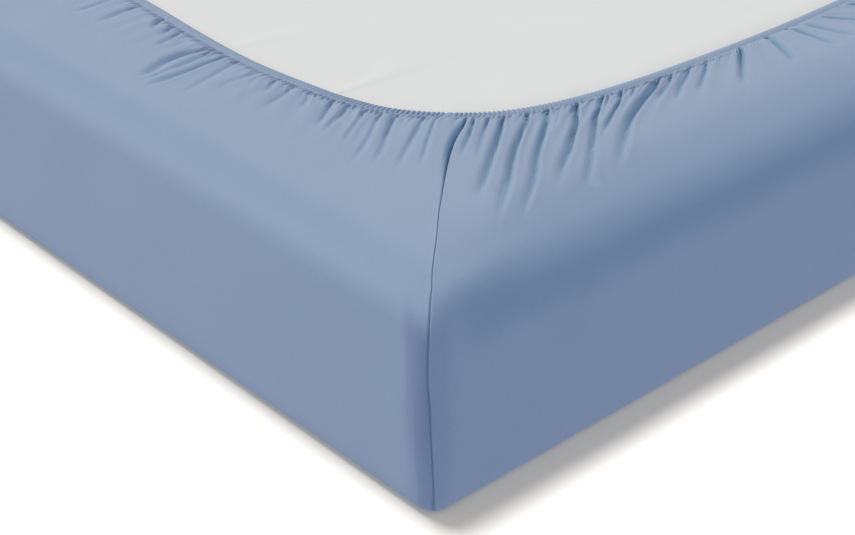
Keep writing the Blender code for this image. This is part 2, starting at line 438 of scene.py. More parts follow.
# Gaps between the hem's crimps next to the photographed seam, in mm from the diagonal.
NAMED_GAPS = (
    *(-51.6, -47.9, -42.4, -38.2, -32.5, -27.6, -22.9, -18.1, -12.8, -8.9, -4.4),
    *(5.0, 9.6, 14.2, 18.8, 22.6, 27.4, 32.3, 37.1, 42.0),
)

# Corners in turn, counter-clockwise from above, as signs of X and Y. The first is the one
# that the creases are drawn for; the others carry them with small seeded differences.
CORNERS = ((-1, -1), (1, -1), (1, 1), (-1, 1))

HEM_WIDTH = 0.012


# ---- small sums ----
def smooth(part: Array) -> Array:
    """Eases from 0 to 1 as part goes from 0 to 1."""
    part = np.clip(part, 0.0, 1.0)
    return part * part * (3.0 - 2.0 * part)


def read(rows: Sequence[Sequence[float]], at: Array) -> Array:
    """A table's second column at places between its rows, in straight steps."""
    return np.interp(at, *np.array(rows, float).T)


def through(
    rows: Sequence[Sequence[float]], at: Array, first: float | None = None, last: float | None = None
) -> Array:
    """A smooth line through a table's rows.

    Args:
        rows: pairs of place and value, with the places rising.
        at: the places to read.
        first: the slope at the first row, or None for the first step's own.
        last: the slope at the last row, likewise.

    Returns:
        The values there, held at the ends.
    """
    x, y = np.array(rows, float).T
    slopes = np.diff(y) / np.diff(x)
    tangents = np.empty_like(x)
    tangents[1:-1] = (slopes[:-1] + slopes[1:]) / 2
    tangents[0] = slopes[0] if first is None else first
    tangents[-1] = slopes[-1] if last is None else last
    i = np.clip(np.searchsorted(x, at, side="right") - 1, 0, len(x) - 2)
    step = x[i + 1] - x[i]
    t = np.clip((at - x[i]) / step, 0.0, 1.0)
    return (
        (2 * t**3 - 3 * t**2 + 1) * y[i]
        + (t**3 - 2 * t**2 + t) * step * tangents[i]
        + (3 * t**2 - 2 * t**3) * y[i + 1]
        + (t**3 - t**2) * step * tangents[i + 1]
    )


def trough(off: Array, left: Array, right: Array) -> Array:
    """A hollow's share of its depth across it: the left wall is soft, the right one steep."""
    softness = 1.6
    soft = np.clip(1.0 + off / left, 0.0, 1.0) ** softness
    return np.where(off < 0, soft, np.exp(-((off / right) ** 2)))


def spaced(start: float, stop: float, spacing: Callable[[Array], Array]) -> Array:
    """Places from start to stop, as far apart as a rule says.

    Args:
        start: the first place.
        stop: the last one.
        spacing: gives the distance between places at each place.

    Returns:
        The places, both ends among them.
    """
    samples = 4001
    fine = np.linspace(start, stop, samples)
    middles = (fine[1:] + fine[:-1]) / 2
    passed = np.concatenate([[0.0], np.cumsum(np.abs(np.diff(fine)) / spacing(middles))])
    return np.interp(np.linspace(0.0, passed[-1], math.ceil(passed[-1]) + 1), passed, fine)


class Change(NamedTuple):
    """A value that changes evenly along a line: what it starts as and what it gains."""

    start: float
    gain: float

    def at(self, share: Array) -> Array:
        """The value at a share of the line."""
        return self.start + self.gain * share


# ---- plan ----
@dataclass(frozen=True)
class Bed:
    """The mattress's outline and edges as the sheet follows them.

    The short sides' edges are rounder than the long ones, and the top falls away a little
    before it reaches them.
    """

    half_width: float
    half_length: float
    border_top: float = 0.216
    bow: float = 0.002
    corner_radius: float = 0.018
    tip_radius: float = 0.002
    long_edge: tuple[float, float] = (0.028, 0.028)
    short_edge: tuple[float, float] = (0.066, 0.030)
    edge_change: float = 0.200
    fall: float = 0.0128
    fall_from: float = 0.080
    fall_over: float = 0.084
    foot_radius: float = 0.008
    corner_reach: float = 0.200

    def half(self, short: Array) -> Array:
        """Half the length of the side that a point lies on."""
        return np.where(short, self.half_width, self.half_length)

    def edge_size(self, place: Array) -> tuple[Array, Array]:
        """How far the edge's rounding reaches inwards and downwards at places on the outline."""
        share = smooth(place / self.edge_change)
        (wide, deep), (short_wide, short_deep) = self.long_edge, self.short_edge
        return wide + (short_wide - wide) * share, deep + (short_deep - deep) * share

    def fallen(self, from_short: Array) -> Array:
        """How far the top lies below its full height, by the distance from the short side."""
        return self.fall * np.maximum((self.fall_from - from_short) / self.fall_over, 0.0) ** 2

    def edge_point(self, place: Array, inset: Array | float) -> Array:
        """Points of the outline, set in from it.

        Args:
            place: distance from the sharp corner, plus on the short side, minus on the long.
            inset: how far in from the sides.

        Returns:
            Their distances from the corner along X and along Y.
        """
        full = self.long_edge[0]
        sharper = np.minimum(inset / full, 1.0)
        radius = self.corner_radius + (self.tip_radius - self.corner_radius) * sharper
        quarter = math.pi / 4 * radius
        run = quarter + self.corner_reach - inset - radius
        far = np.abs(place)
        travelled = np.where(far < self.corner_reach, far / self.corner_reach * run, run)
        travelled = travelled + np.maximum(far - self.corner_reach, 0.0)
        turn = math.pi / 4 + np.minimum(travelled / radius, math.pi / 4)
        along = inset + radius - radius * np.cos(turn) + np.maximum(travelled - quarter, 0.0)
        across = inset + radius - radius * np.sin(turn)
        short = place > 0
        swell = self.bow * (1 - far / self.half(short)) ** 2
        x, y = np.where(short, along, across) + swell, np.where(short, across, along) + swell
        return np.stack([x, y], 1)


class Mouth:
    """The mouth's edge round one corner, measured along itself from the diagonal."""

    STEP = 0.0005

    def __init__(self, bed: Bed) -> None:
        """Walks the edge from the middle of the long side to the middle of the short one.

        Args:
            bed: the mattress's outline.
        """
        short = self.walk(Side.SHORT, bed.half_width)
        long = self.walk(Side.LONG, bed.half_length)
        self.path = np.concatenate([long[::-1, ::-1], short[1:]])
        steps = np.hypot(*np.diff(self.path, axis=0).T)
        self.place = np.concatenate([[0.0], np.cumsum(steps)])
        self.place -= self.place[len(long) - 1]
        tangent = np.gradient(self.path, self.place, axis=0)
        tangent /= np.hypot(*tangent.T)[:, None]
        self.out = np.stack([tangent[:, 1], -tangent[:, 0]], 1)
        self.long_end, self.short_end = -self.place[0], self.place[-1]
        self.length = self.long_end + self.short_end

    def walk(self, side: Side, stop: float) -> Array:
        """(along, inset) points on one side, from the diagonal to the side's middle."""
        rows = np.array(MOUTH[side]) * MM
        along = np.linspace(rows[0, 0], stop, round((stop - rows[0, 0]) / self.STEP))
        return np.stack([along, through(rows, along, first=-1.0, last=0.0)], 1)

    def at(self, place: Array) -> tuple[Array, Array]:
        """Points of the edge in the corner's own axes, and the way out at each."""
        point = np.stack([np.interp(place, self.place, self.path[:, k]) for k in (0, 1)], -1)
        out = np.stack([np.interp(place, self.place, self.out[:, k]) for k in (0, 1)], -1)
        return point, out

    def where(self, side: Side, along: Array) -> Array:
        """The places on the mouth that lie so far along a side.

        Args:
            side: which side.
            along: distances from the corner along it.

        Returns:
            Distances along the mouth's edge, plus on the short side.
        """
        if side is Side.SHORT:
            here = self.place >= 0
            return np.interp(along, self.path[here, 0], self.place[here])
        here = self.place <= 0
        return np.interp(along, self.path[here, 1][::-1], self.place[here][::-1])


def to_world(bed: Bed, sign: Array, point: Array) -> Array:
    """Distances from upright corners, with each corner's signs of X and Y, as X and Y."""
    return sign * (np.array([bed.half_width, bed.half_length]) - point)


# ---- columns ----
class Round:
    """Places once round the whole mouth, counter-clockwise from the middle of the left side."""

    def __init__(self, mouth: Mouth) -> None:
        """Lays the four corners' mouths end to end."""
        self.mouth = mouth
        self.length = mouth.length * len(CORNERS)

    def turn(self, index: Array, place: Array) -> Array:
        """The way round to places on the mouths of corners with these numbers."""
        forward = np.asarray(index) % 2 == 0
        local = np.where(forward, place + self.mouth.long_end, self.mouth.short_end - place)
        return local + index * self.mouth.length

    def place(self, turn: Array) -> tuple[Array, Array]:
        """The opposite of turn.

        Args:
            turn: distances from the start of the round, over any number of rounds.

        Returns:
            Which corner's mouth each falls on, and where on it.
        """
        turn = np.mod(turn, self.length)
        index = np.minimum(turn // self.mouth.length, len(CORNERS) - 1).astype(int)
        local = turn - index * self.mouth.length
        forward = index % 2 == 0
        return index, np.where(forward, local - self.mouth.long_end, self.mouth.short_end - local)


class Columns(NamedTuple):
    """Lines that run from the hem to the foot, once round the mattress.

    sign holds the signs of X and Y of each column's corner, mouth its place along the mouth,
    edge its place along the outline (minus on the long side), level the coarsest ring that
    it still belongs to, and turn its place round the whole mouth.
    """

    sign: Array
    mouth: Array
    edge: Array
    level: Array
    turn: Array

    def only(self, index: Array) -> "Columns":
        """Some of the columns."""
        return Columns(*(column[index] for column in self))

    def left_at(self, level: int) -> Array:
        """The numbers of the columns that belong to the rings of a level."""
        return np.nonzero(self.level >= level)[0]


@dataclass(frozen=True)
class Weave:
    """How close the columns lie: near ones on the photographed corner, far ones elsewhere."""

    near: float = 0.00098
    far: float = 0.0026
    near_long: float = -0.52
    near_short: float = 0.44
    change_over: float = 0.05
    keep_near: Steps = (0.0022, 0.0060, 0.0160)
    keep_far: Steps = (0.0040, 0.0090, 0.0240)
    keep_upright: float = 0.0045
    upright_reach: float = 0.060
    seam_place: float = 0.019
    seam_steps: Steps = (0.0, 0.0003, 0.0007, 0.0012, 0.0019, 0.0028, 0.0040)

    @property
    def coarsest(self) -> int:
        """The last level of rings."""
        return len(self.keep_near)

    def spacing(self, index: int, place: Array) -> Array:
        """The distance between columns along one corner's mouth.

        Args:
            index: which corner.
            place: where on its mouth.

        Returns:
            Distances in metres.
        """
        if index:
            return np.full_like(place, self.far)
        past = np.maximum(self.near_long - place, place - self.near_short)
        return self.near + (self.far - self.near) * smooth(past / self.change_over)

    def levels(self, edge: Array, index: int) -> Array:
        """The coarsest ring that each column belongs to, by its distance to the last one kept.

        Args:
            edge: the columns' distances from the corner along the outline.
            index: which corner.

        Returns:
            A level for each column, from 0 to the coarsest.
        """
        last = np.full(self.coarsest, edge[0])
        found = []
        for reach in edge:
            keep = np.array(self.keep_far if index else self.keep_near)
            if reach < self.upright_reach:
                keep = np.minimum(keep, self.keep_upright)
            kept = (k + 1 for k in range(self.coarsest) if reach - last[k] >= keep[k])
            level = max(kept, default=0)
            last[:level] = reach
            found.append(level)
        found[-1] = self.coarsest
        return np.array(found)

    def run(self, bed: Bed, mouth: Mouth, side: Side, index: int) -> tuple[Array, Array, Array]:
        """Columns of one side at one corner, from the seam to the side's middle.

        Args:
            bed: the mattress's outline.
            mouth: the mouth's edge.
            side: which side.
            index: which corner.

        Returns:
            Their places on the mouth and on the outline, and their levels.
        """
        way = 1.0 if side is Side.SHORT else -1.0
        zone = np.array(self.seam_steps)
        start = self.seam_place + way * zone[-1]
        stop = mouth.short_end if side is Side.SHORT else -mouth.long_end
        rest = spaced(start, stop, lambda place: self.spacing(index, place))[1:]
        hems = mouth.where(side, np.array([row.hem for row in THREADS[side]]) * MM)
        rows = [(way * start, zone[-1])]
        rows += [(way * hem, row.edge * MM) for hem, row in zip(hems, THREADS[side])]
        edges = through(rows, way * rest)
        edges[-1] = bed.half_width if side is Side.SHORT else bed.half_length
        return (
            np.concatenate([self.seam_place + way * zone, rest]),
            way * np.concatenate([zone, edges]),
            np.concatenate([np.full(len(zone), self.coarsest), self.levels(edges, index)]),
        )

    def columns(self, bed: Bed, ring: Round) -> Columns:
        """Every column, counter-clockwise from the middle of the left side.

        Args:
            bed: the mattress's outline.
            ring: the way round the mouth.

        Returns:
            The columns.
        """
        parts = []
        for index, signs in enumerate(CORNERS):
            short = self.run(bed, ring.mouth, Side.SHORT, index)
            long = self.run(bed, ring.mouth, Side.LONG, index)
            forward = index % 2 == 0
            place, edge, level = (
                np.concatenate([b[:0:-1], a] if forward else [a[:0:-1], b])[:-1]
                for a, b in zip(short, long)
            )
            sign = np.tile(np.array(signs, float), (len(place), 1))
            parts.append((sign, place, edge, level, ring.turn(index, place)))
        return Columns(*(np.concatenate(column) for column in zip(*parts)))


# ---- gathers ----
@dataclass(frozen=True)
class PuckerBand:
    """One size of pucker next to the hem: it swells, holds and dies out over the cloth."""

    pitch: float
    height: float
    rises_by: float
    holds_to: float
    gone_by: float
    seed: int

    def share(self, away: Array) -> Array:
        """How much of it is left at a distance from the stitch line."""
        fading = (away - self.holds_to) / (self.gone_by - self.holds_to)
        return smooth(away / self.rises_by) * (1 - smooth(fading))


FINE_PUCKERS = PuckerBand(0.0049, 0.0020, 0.0010, 0.0075, 0.0185, 11)
WIDE_PUCKERS = (
    PuckerBand(0.0120, 0.0009, 0.0050, 0.0140, 0.0420, 12),
    PuckerBand(0.0270, 0.0011, 0.0150, 0.0350, 0.1000, 13),
)


class Gathers:
    """The gaps between crimps, once round the mouth."""

    UNEVEN = 0.20
    CLEAR = 0.7
    SEED = 5

    def __init__(self, ring: Round) -> None:
        """Draws the gaps, then puts the named ones in their places.

        Args:
            ring: the way round the mouth.
        """
        self.ring = ring
        pitch = FINE_PUCKERS.pitch
        draw = np.random.default_rng(self.SEED)
        count = round(ring.length / pitch)
        widths = 1.0 + draw.uniform(-self.UNEVEN, self.UNEVEN, count)
        gaps = (np.cumsum(widths) - widths / 2) * ring.length / widths.sum()
        named = ring.turn(0, np.array(NAMED_GAPS) * MM)
        before = gaps < named[0] - pitch * self.CLEAR
        after = gaps > named[-1] + pitch * self.CLEAR
        self.gaps = np.sort(np.concatenate([gaps[before | after], named]))

    def shares(self, place: Array) -> tuple[Array, Array, Array]:
        """The crimps' share on the casing and below it, and their slant, at places."""
        rows = np.array(CRIMPS)
        return tuple(np.interp(place / MM, rows[:, 0], rows[:, k]) for k in (1, 2, 3))


class Puckers:
    """Uneven waves round the whole mouth, which meet themselves after one turn."""

    SHALLOWEST = 0.40
    UNEVEN = 0.36
    PLACES_SEED = 100

    def __init__(self, knots: Array, length: float, seed: int, sharp: float = 1.0) -> None:
        """Puts hollows at the even knots and crests at the odd ones.

        Args:
            knots: places round the mouth.
            length: the mouth's length.
            seed: for the waves' heights.
            sharp: how much narrower than a full wave the hollows are.
        """
        self.sharp = sharp
        draw = np.random.default_rng(seed)
        heights = draw.uniform(self.SHALLOWEST, 1.0, len(knots))
        heights *= np.where(np.arange(len(knots)) % 2, 1.0, -1.0)
        self.knots = np.concatenate([knots, [knots[0] + length]])
        self.heights = np.append(heights, heights[0])
        self.length = length

    @classmethod
    def drawn(cls, length: float, band: PuckerBand) -> "Puckers":
        """Waves of about one band's pitch, with random places."""
        draw = np.random.default_rng(band.seed + cls.PLACES_SEED)
        widths = 1.0 + draw.uniform(-cls.UNEVEN, cls.UNEVEN, 2 * round(length / band.pitch))
        knots = (np.cumsum(widths) - widths[0]) * length / widths.sum()
        return cls(knots, length, band.seed)

    def at(self, turn: Array) -> Array:
        """The waves' height.

        Args:
            turn: places round the mouth.

        Returns:
            Heights from -1 to 1.
        """
        turn = np.mod(turn - self.knots[0], self.length) + self.knots[0]
        i = np.clip(np.searchsorted(self.knots, turn, side="right") - 1, 0, len(self.knots) - 2)
        part = (turn - self.knots[i]) / (self.knots[i + 1] - self.knots[i])
        part = np.where(i % 2, 1 - part, part)
        low, high = self.heights[i + i % 2], self.heights[i + 1 - i % 2]
        return low + (high - low) * smooth(part * self.sharp)


class PlacedCrease(NamedTuple):
    """A crease where it lies in the plan, in metres.

    The share after the sizes is how much painted shade, a darker teal tint, its hollow takes. hand
    is 1 or -1 and tells which side of the line the soft wall is on.
    """

    line: Array
    deep: float
    left: float
    right: float
    painted_shade_share: float
    hand: int
    END_SHARE = 0.3

    def beside(self, point: Array) -> tuple[Array, Array]:
        """Where points lie beside the crease.

        Args:
            point: points of the plan.

        Returns:
            The share of the line that each has passed, and its distance from the line, minus
            on the soft wall's side. A point that lies nearly straight past an end counts as
            on the steep side.
        """
        steps = np.hypot(*np.diff(self.line, axis=0).T)
        passed = np.concatenate([[0.0], np.cumsum(steps)])
        best, along = np.full(len(point), np.inf), np.zeros(len(point))
        aside = np.zeros(len(point))
        for k, step in enumerate(steps):
            way = (self.line[k + 1] - self.line[k]) / step
            part = np.clip((point - self.line[k]) @ way, 0.0, step)
            off = point - self.line[k] - part[:, None] * way
            gap = np.hypot(*off.T)
            closer = gap < best
            best[closer] = gap[closer]
            along[closer] = passed[k] + part[closer]
            aside[closer] = self.hand * (off @ np.array([-way[1], way[0]]))[closer]
        past_an_end = np.abs(aside) <= self.END_SHARE * best
        return along / passed[-1], np.where(past_an_end, best, np.sign(aside) * best)


class Relief:
    """Heights of the border over the mattress: lift, creases and puckers, with the painted shade in their hollows.

    A Change in here runs along a crease, from the hem to its foot, or along the mouth.
    LINE_STEP and STRAY are in millimetres, like the table that they are for.
    """

    DEEPER = {Side.SHORT: 1.75, Side.LONG: 1.22}
    # Painted shade: how much of the darker fold tint the creases of each side take.
    PAINTED_SHADE_BY_SIDE = {Side.SHORT: 1.0, Side.LONG: 0.5}
    STARTS = Change(0.76, 4.0)
    DIES_FROM, DIES_OVER = 0.70, 0.30
    EBB, EBB_FROM, EBB_OVER = 0.26, 0.20, 0.50
    STEEP_WALL = Change(0.85, 0.85)
    SOFT_WALL = Change(0.82, 0.46)
    # Painted shade along a crease, strongest near the hem.
    PAINTED_SHADE_ALONG = Change(1.12, -0.62)
    LIP_SHARE, LIP_AT = 0.12, 2.4
    ASIDE = 0.0020
    # Creases deeper than SHADED_FROM take painted shade, fully once SHADED_OVER deeper.
    SHADED_FROM, SHADED_OVER = 0.0012, 0.0031
    # Painted shade in the fine puckers' hollows.
    FINE_SHADE = 0.5
    FINE_SHARP = 1.1
    ONSET = 0.0022
    ENDS_FROM = 0.03
    LIFT_BY = 0.0145
    LIFT_SHORT = 0.0086
    LIFT_LONG = 0.0042
    LIFT_CHANGE = 0.16
    LIFT_GONE = 0.034
    LIFT_FADES = Change(0.115, -0.051)
    SLOW_BY = 0.080
    SLOW_SHARE = 0.40
    LOWEST = 0.0070
    SOFTNESS = 0.0006
    REACH_BACK = 0.012
    JOINED = 0.0005
    LINE_STEP = 6.0
    STRAY = 6.0
    SIZE_CHANGE = 0.25
    SEED = 40
    REACH = 3

    def __init__(self, bed: Bed, gathers: Gathers) -> None:
        """Puts every corner's creases in the plan.

        Args:
            bed: the mattress's outline.
            gathers: the gaps between the hem's crimps.
        """
        self.bed = bed
        self.gathers = gathers
        self.creases: list[PlacedCrease] = []
        for index, signs in enumerate(CORNERS):
            draw = np.random.default_rng(self.SEED + index) if index else None
            for side, rows in CREASES.items():
                self.creases += [self.placed(row, side, signs, draw) for row in rows]
        length = gathers.ring.length
        gaps = gathers.gaps
        middles = (gaps + np.append(gaps[1:], gaps[0] + length)) / 2
        knots = np.stack([gaps, middles], 1).ravel()
        self.fine = Puckers(knots, length, FINE_PUCKERS.seed, self.FINE_SHARP)
        self.wide = [Puckers.drawn(length, band) for band in WIDE_PUCKERS]

    def placed(
        self, row: Crease, side: Side, signs: tuple[int, int], draw: np.random.Generator | None
    ) -> PlacedCrease:
        """One crease as a smooth line in the plan.

        Args:
            row: the crease in the table.
            side: the side that it is drawn for.
            signs: the corner's signs of X and Y.
            draw: moves and resizes it a little, or None for the photographed corner.

        Returns:
            The crease in its place.
        """
        line = np.array(row.line, float)
        size = np.array([row.deep, row.left, row.right]) * MM
        size[0] *= self.DEEPER[side]
        if draw is not None:
            line[:, 0] += draw.uniform(-self.STRAY, self.STRAY)
            line[1:, 0] += draw.uniform(-self.STRAY, self.STRAY) / 2
            size *= 1 + draw.uniform(-self.SIZE_CHANGE, self.SIZE_CHANGE, 3)
        if side is Side.LONG:
            line = line[:, ::-1]
        steps = np.concatenate([[0.0], np.cumsum(np.hypot(*np.diff(line, axis=0).T))])
        fine = np.linspace(0.0, steps[-1], max(4, round(steps[-1] / self.LINE_STEP)))
        line = np.stack([through(list(zip(steps, line[:, k])), fine) for k in (0, 1)], 1) * MM
        back = line[0] - line[1]
        gap = np.hypot(*(self.gathers.ring.mouth.path - line[0]).T).min() - HEM_WIDTH
        if gap > self.JOINED:
            first = line[0] + back / np.hypot(*back) * min(gap, self.REACH_BACK)
            line = np.concatenate([[first], line])
        sign = np.tile(np.array(signs, float), (len(line), 1))
        line = to_world(self.bed, sign, line)
        return PlacedCrease(line, *size, self.PAINTED_SHADE_BY_SIDE[side], signs[0] * signs[1])

    def depth(self, plan: Array) -> tuple[Array, Array]:
        """How deep all creases together lie, and the painted shade in them.

        Args:
            plan: points of the plan.

        Returns:
            Depths in metres, and the painted shade in the folds, from 0 to 1.
        """
        depth, shade = np.zeros(len(plan)), np.zeros(len(plan))
        for crease in self.creases:
            reach = max(crease.left, crease.right) * self.REACH
            low, high = crease.line.min(0) - reach, crease.line.max(0) + reach
            near = np.nonzero(((plan > low) & (plan < high)).all(1))[0]
            if not len(near):
                continue
            along, off = crease.beside(plan[near])
            off = off - self.ASIDE
            share = smooth(self.STARTS.at(along))
            share *= 1 - smooth((along - self.DIES_FROM) / self.DIES_OVER)
            share *= 1 - self.EBB * smooth((along - self.EBB_FROM) / self.EBB_OVER)
            steep = crease.right * self.STEEP_WALL.at(along)
            hollow = trough(off, crease.left * self.SOFT_WALL.at(along), steep)
            lip = self.LIP_SHARE * np.exp(-((off / steep - self.LIP_AT) ** 2))
            depth[near] += crease.deep * share * (hollow - lip)
            # Painted shade in the hollow, darker for deeper creases.
            strong = min(max(crease.deep - self.SHADED_FROM, 0.0) / self.SHADED_OVER, 1.0)
            dark = share * hollow * strong * crease.painted_shade_share * self.PAINTED_SHADE_ALONG.at(along)
            shade[near] = np.maximum(shade[near], dark)
        return depth, shade

    def lift(self, columns: Columns, gap: Array) -> tuple[Array, Array, Array]:
        """How the border stands off the mattress.

        Args:
            columns: the column of each point.
            gap: the points' distances in from the nearest side.

        Returns:
            Its full lift, the share that it gains slowly, and what is left of it.
        """
        blend = smooth(0.5 + columns.mouth / self.LIFT_CHANGE)
        lift = self.LIFT_LONG + (self.LIFT_SHORT - self.LIFT_LONG) * blend
        left = smooth((gap - self.LIFT_GONE) / self.LIFT_FADES.at(blend))
        return lift, self.SLOW_SHARE * blend, left

    def creases_left(self, gap: Array) -> Array:
        """How much of the creases is left at a distance in from the nearest side."""
        return smooth((gap - self.ENDS_FROM) / self.ENDS_FROM)

    def outer(self, columns: Columns, point: Array) -> Array:
        """The heights where the border rolls over the edge.

        Args:
            columns: the column of each point.
            point: the points' distances from the corner.

        Returns:
            Heights in metres.
        """
        gap = point.min(1)
        lift, _, inner = self.lift(columns, gap)
        depth, _ = self.depth(to_world(self.bed, columns.sign, point))
        return lift * inner - depth * self.creases_left(gap)

    def at(self, columns: Columns, plan: Array, away: Array, gap: Array) -> tuple[Array, Array]:
        """Heights over the border's flat level, and the painted shade at each point.

        Args:
            columns: the column of each point.
            plan: the points' X and Y.
            away: their distances from the stitch line.
            gap: their distances in from the nearest side.

        Returns:
            Heights in metres, and painted shade from 0 to 1.
        """
        _, below, slant = self.gathers.shares(columns.mouth)
        lift, slow, inner = self.lift(columns, gap)
        risen = (1 - slow) * smooth(away / self.LIFT_BY) + slow * smooth(away / self.SLOW_BY)
        height = lift * risen * inner
        depth, shade = self.depth(plan)
        onset = smooth(away / self.ONSET)
        height -= depth * onset * self.creases_left(gap)
        way = np.where(columns.sign.prod(1) > 0, 1.0, -1.0)
        shifted = columns.turn - way * slant * HEM_WIDTH
        fine = FINE_PUCKERS.share(away) * below * self.fine.at(shifted)
        height += FINE_PUCKERS.height * fine
        for band, puckers in zip(WIDE_PUCKERS, self.wide):
            height += band.height * band.share(away) * below * puckers.at(columns.turn) * inner
        above = (height + self.LOWEST) / self.SOFTNESS
        height = np.logaddexp(0.0, above) * self.SOFTNESS - self.LOWEST
        # Painted shade: the creases' hollows and the fine puckers' hollows.
        return height, np.maximum(shade * onset, self.FINE_SHADE * smooth(-fine))


# ---- finishes ----
class Slot(Enum):
    """The record's material slots."""

    CLOTH = "cotton_blue"
    COVER = "cover_white"


class Noise(NamedTuple):
    """A noise texture: its scale, its detail, and how strongly it counts."""

    scale: float
    detail: float
    strength: float = 1.0


class Nodes:
    """A material's node tree, built link by link."""

    SHEEN_ROUGHNESS = 0.5
    SPECULAR = 0.2

    def __init__(self, name: str) -> None:
        """Starts a material with an empty tree."""
        self.material = bpy.data.materials.new(name)
        self.material.use_nodes = True
        self.tree = self.material.node_tree
        self.tree.nodes.clear()

    def add(self, kind: str, **settings: str) -> Node:
        """A new node.

        Args:
            kind: its type name without the ShaderNode in front.
            settings: properties to set.

        Returns:
            The node.
        """
        node = self.tree.nodes.new("ShaderNode" + kind)
        for name, value in settings.items():
            setattr(node, name, value)
        return node

    def put(self, target: NodeSocket, value: Value) -> None:
        """Sets an input, or links a socket to it.

        Args:
            target: the input.
            value: a number, a colour or a socket.
        """
        if isinstance(value, NodeSocket):
            self.tree.links.new(value, target)
        else:
            target.default_value = value

    def feed(self, node: Node, **values: Value) -> Node:
        """Puts values into a node's inputs.

        Args:
            node: the node.
            values: one for each input by its name, with an underscore for a space.

        Returns:
            The same node.
        """
        for name, value in values.items():
            self.put(node.inputs[name.replace("_", " ")], value)
        return node

    def sum(self, operation: str, a: Value, b: Value = 0.0) -> NodeSocket:
        """One sum.

        Args:
            operation: the Math node's operation.
            a: its first value.
            b: its second value.

        Returns:
            The result.
        """
        node = self.add("Math", operation=operation)
        self.put(node.inputs[0], a)
        self.put(node.inputs[1], b)
        return node.outputs[0]

    def noise(self, where: Value, noise: Noise, distortion: float = 0.0) -> NodeSocket:
        """A noise texture's value.

        Args:
            where: the coordinates.
            noise: the texture.
            distortion: how far it is twisted.

        Returns:
            The value times its strength.
        """
        node = self.add("TexNoise")
        self.feed(node, Vector=where, Scale=noise.scale, Detail=noise.detail, Distortion=distortion)
        if noise.strength == 1.0:
            return node.outputs[0]
        return self.sum("MULTIPLY", node.outputs[0], noise.strength)

    def mix(self, factor: Value, a: Value, b: Value, blend: str = "MIX") -> NodeSocket:
        """One colour mixed with another.

        Args:
            factor: the second one's share.
            a: the first colour.
            b: the second colour.
            blend: the Mix node's blend type.

        Returns:
            The colour.
        """
        node = self.add("Mix", data_type="RGBA", blend_type=blend)
        factor_input, first_input, second_input = 0, 6, 7
        self.put(node.inputs[factor_input], factor)
        self.put(node.inputs[first_input], a)
        self.put(node.inputs[second_input], b)
        return node.outputs[2]

    def surface(self, colour: Value, roughness: float, sheen: float, bump: Node) -> Material:
        """Ends the tree in a matt surface.

        Args:
            colour: its colour.
            roughness: its roughness.
            sheen: its sheen's weight.
            bump: the Bump node for its relief.

        Returns:
            The finished material.
        """
        shader = self.add("BsdfPrincipled")
        self.feed(shader, Base_Color=colour, Roughness=roughness, Normal=bump.outputs[0])
        self.feed(shader, Sheen_Weight=sheen, Sheen_Roughness=self.SHEEN_ROUGHNESS)
        self.feed(shader, Specular_IOR_Level=self.SPECULAR)
        self.feed(self.add("OutputMaterial"), Surface=shader.outputs[0])
        return self.material


@dataclass(frozen=True)
class JerseyFinish:
    """Fine knitted cotton: wales along the cut's width, with a slight cloud of shades.

    The folded attribute carries painted shade: a darker teal tint in the creases, the seam's fold and groove, the
    hem's gaps and where the border rolls over the sides.
    """

    colour: Triple = (0.292, 0.373, 0.512)
    allowance_tint: Triple = (0.755, 0.755, 0.87)
    painted_shade_tint: Triple = (0.42, 0.70, 0.82)
    wale: float = 0.0011
    course_share: float = 0.8
    course_height: float = 0.35
    waver: Noise = Noise(90.0, 2.0, 2.5)
    lumps: Noise = Noise(420.0, 3.0, 1.6)
    cloud: Noise = Noise(14.0, 3.0, 0.07)
    grain: Noise = Noise(650.0, 2.0, 0.16)
    relief_strength: float = 0.35
    relief_height: float = 0.00006
    roughness: float = 0.85
    sheen: float = 0.22

    def relief(self, nodes: Nodes, place: NodeSocket) -> Node:
        """The knit's bump, laid along the cloth's flat cut.

        Args:
            nodes: the material's tree.
            place: object coordinates.

        Returns:
            The Bump node.
        """
        cut = nodes.add("UVMap", uv_map="UVMap").outputs[0]
        parts = nodes.feed(nodes.add("SeparateXYZ"), Vector=cut)
        wales = nodes.sum("MULTIPLY", parts.outputs[0], 2 * math.pi / self.wale)
        wales = nodes.sum("SINE", nodes.sum("ADD", wales, nodes.noise(place, self.waver)))
        course = self.wale * self.course_share
        courses = nodes.sum("SINE", nodes.sum("MULTIPLY", parts.outputs[1], 2 * math.pi / course))
        knit = nodes.sum("ADD", nodes.sum("MULTIPLY", courses, self.course_height), wales)
        height = nodes.sum("ADD", nodes.noise(place, self.lumps), knit)
        bump = nodes.add("Bump")
        nodes.feed(bump, Strength=self.relief_strength, Distance=self.relief_height)
        return nodes.feed(bump, Height=height)

    def make(self) -> Material:
        """The material, which also reads the doubled allowance and the painted shade of the folded attribute.

        Returns:
            The finished material.
        """
        nodes = Nodes("cotton_jersey")
        place = nodes.add("TexCoord").outputs["Object"]
        clouded = nodes.sum("ADD", nodes.noise(place, self.cloud), nodes.noise(place, self.grain))
        mean = (self.cloud.strength + self.grain.strength) / 2
        shade = nodes.sum("ADD", clouded, 1.0 - mean)
        grey = nodes.feed(nodes.add("CombineColor"), Red=shade, Green=shade, Blue=shade)
        colour = nodes.mix(1.0, (*self.colour, 1.0), grey.outputs[0], "MULTIPLY")
        # The folded attribute mixes in the painted shade.
        for name, tint in (("allowance", self.allowance_tint), ("folded", self.painted_shade_tint)):
            share = nodes.add("Attribute", attribute_name=name).outputs["Fac"]
            colour = nodes.mix(share, colour, nodes.mix(1.0, colour, (*tint, 1.0), "MULTIPLY"))
        return nodes.surface(colour, self.roughness, self.sheen, self.relief(nodes, place))


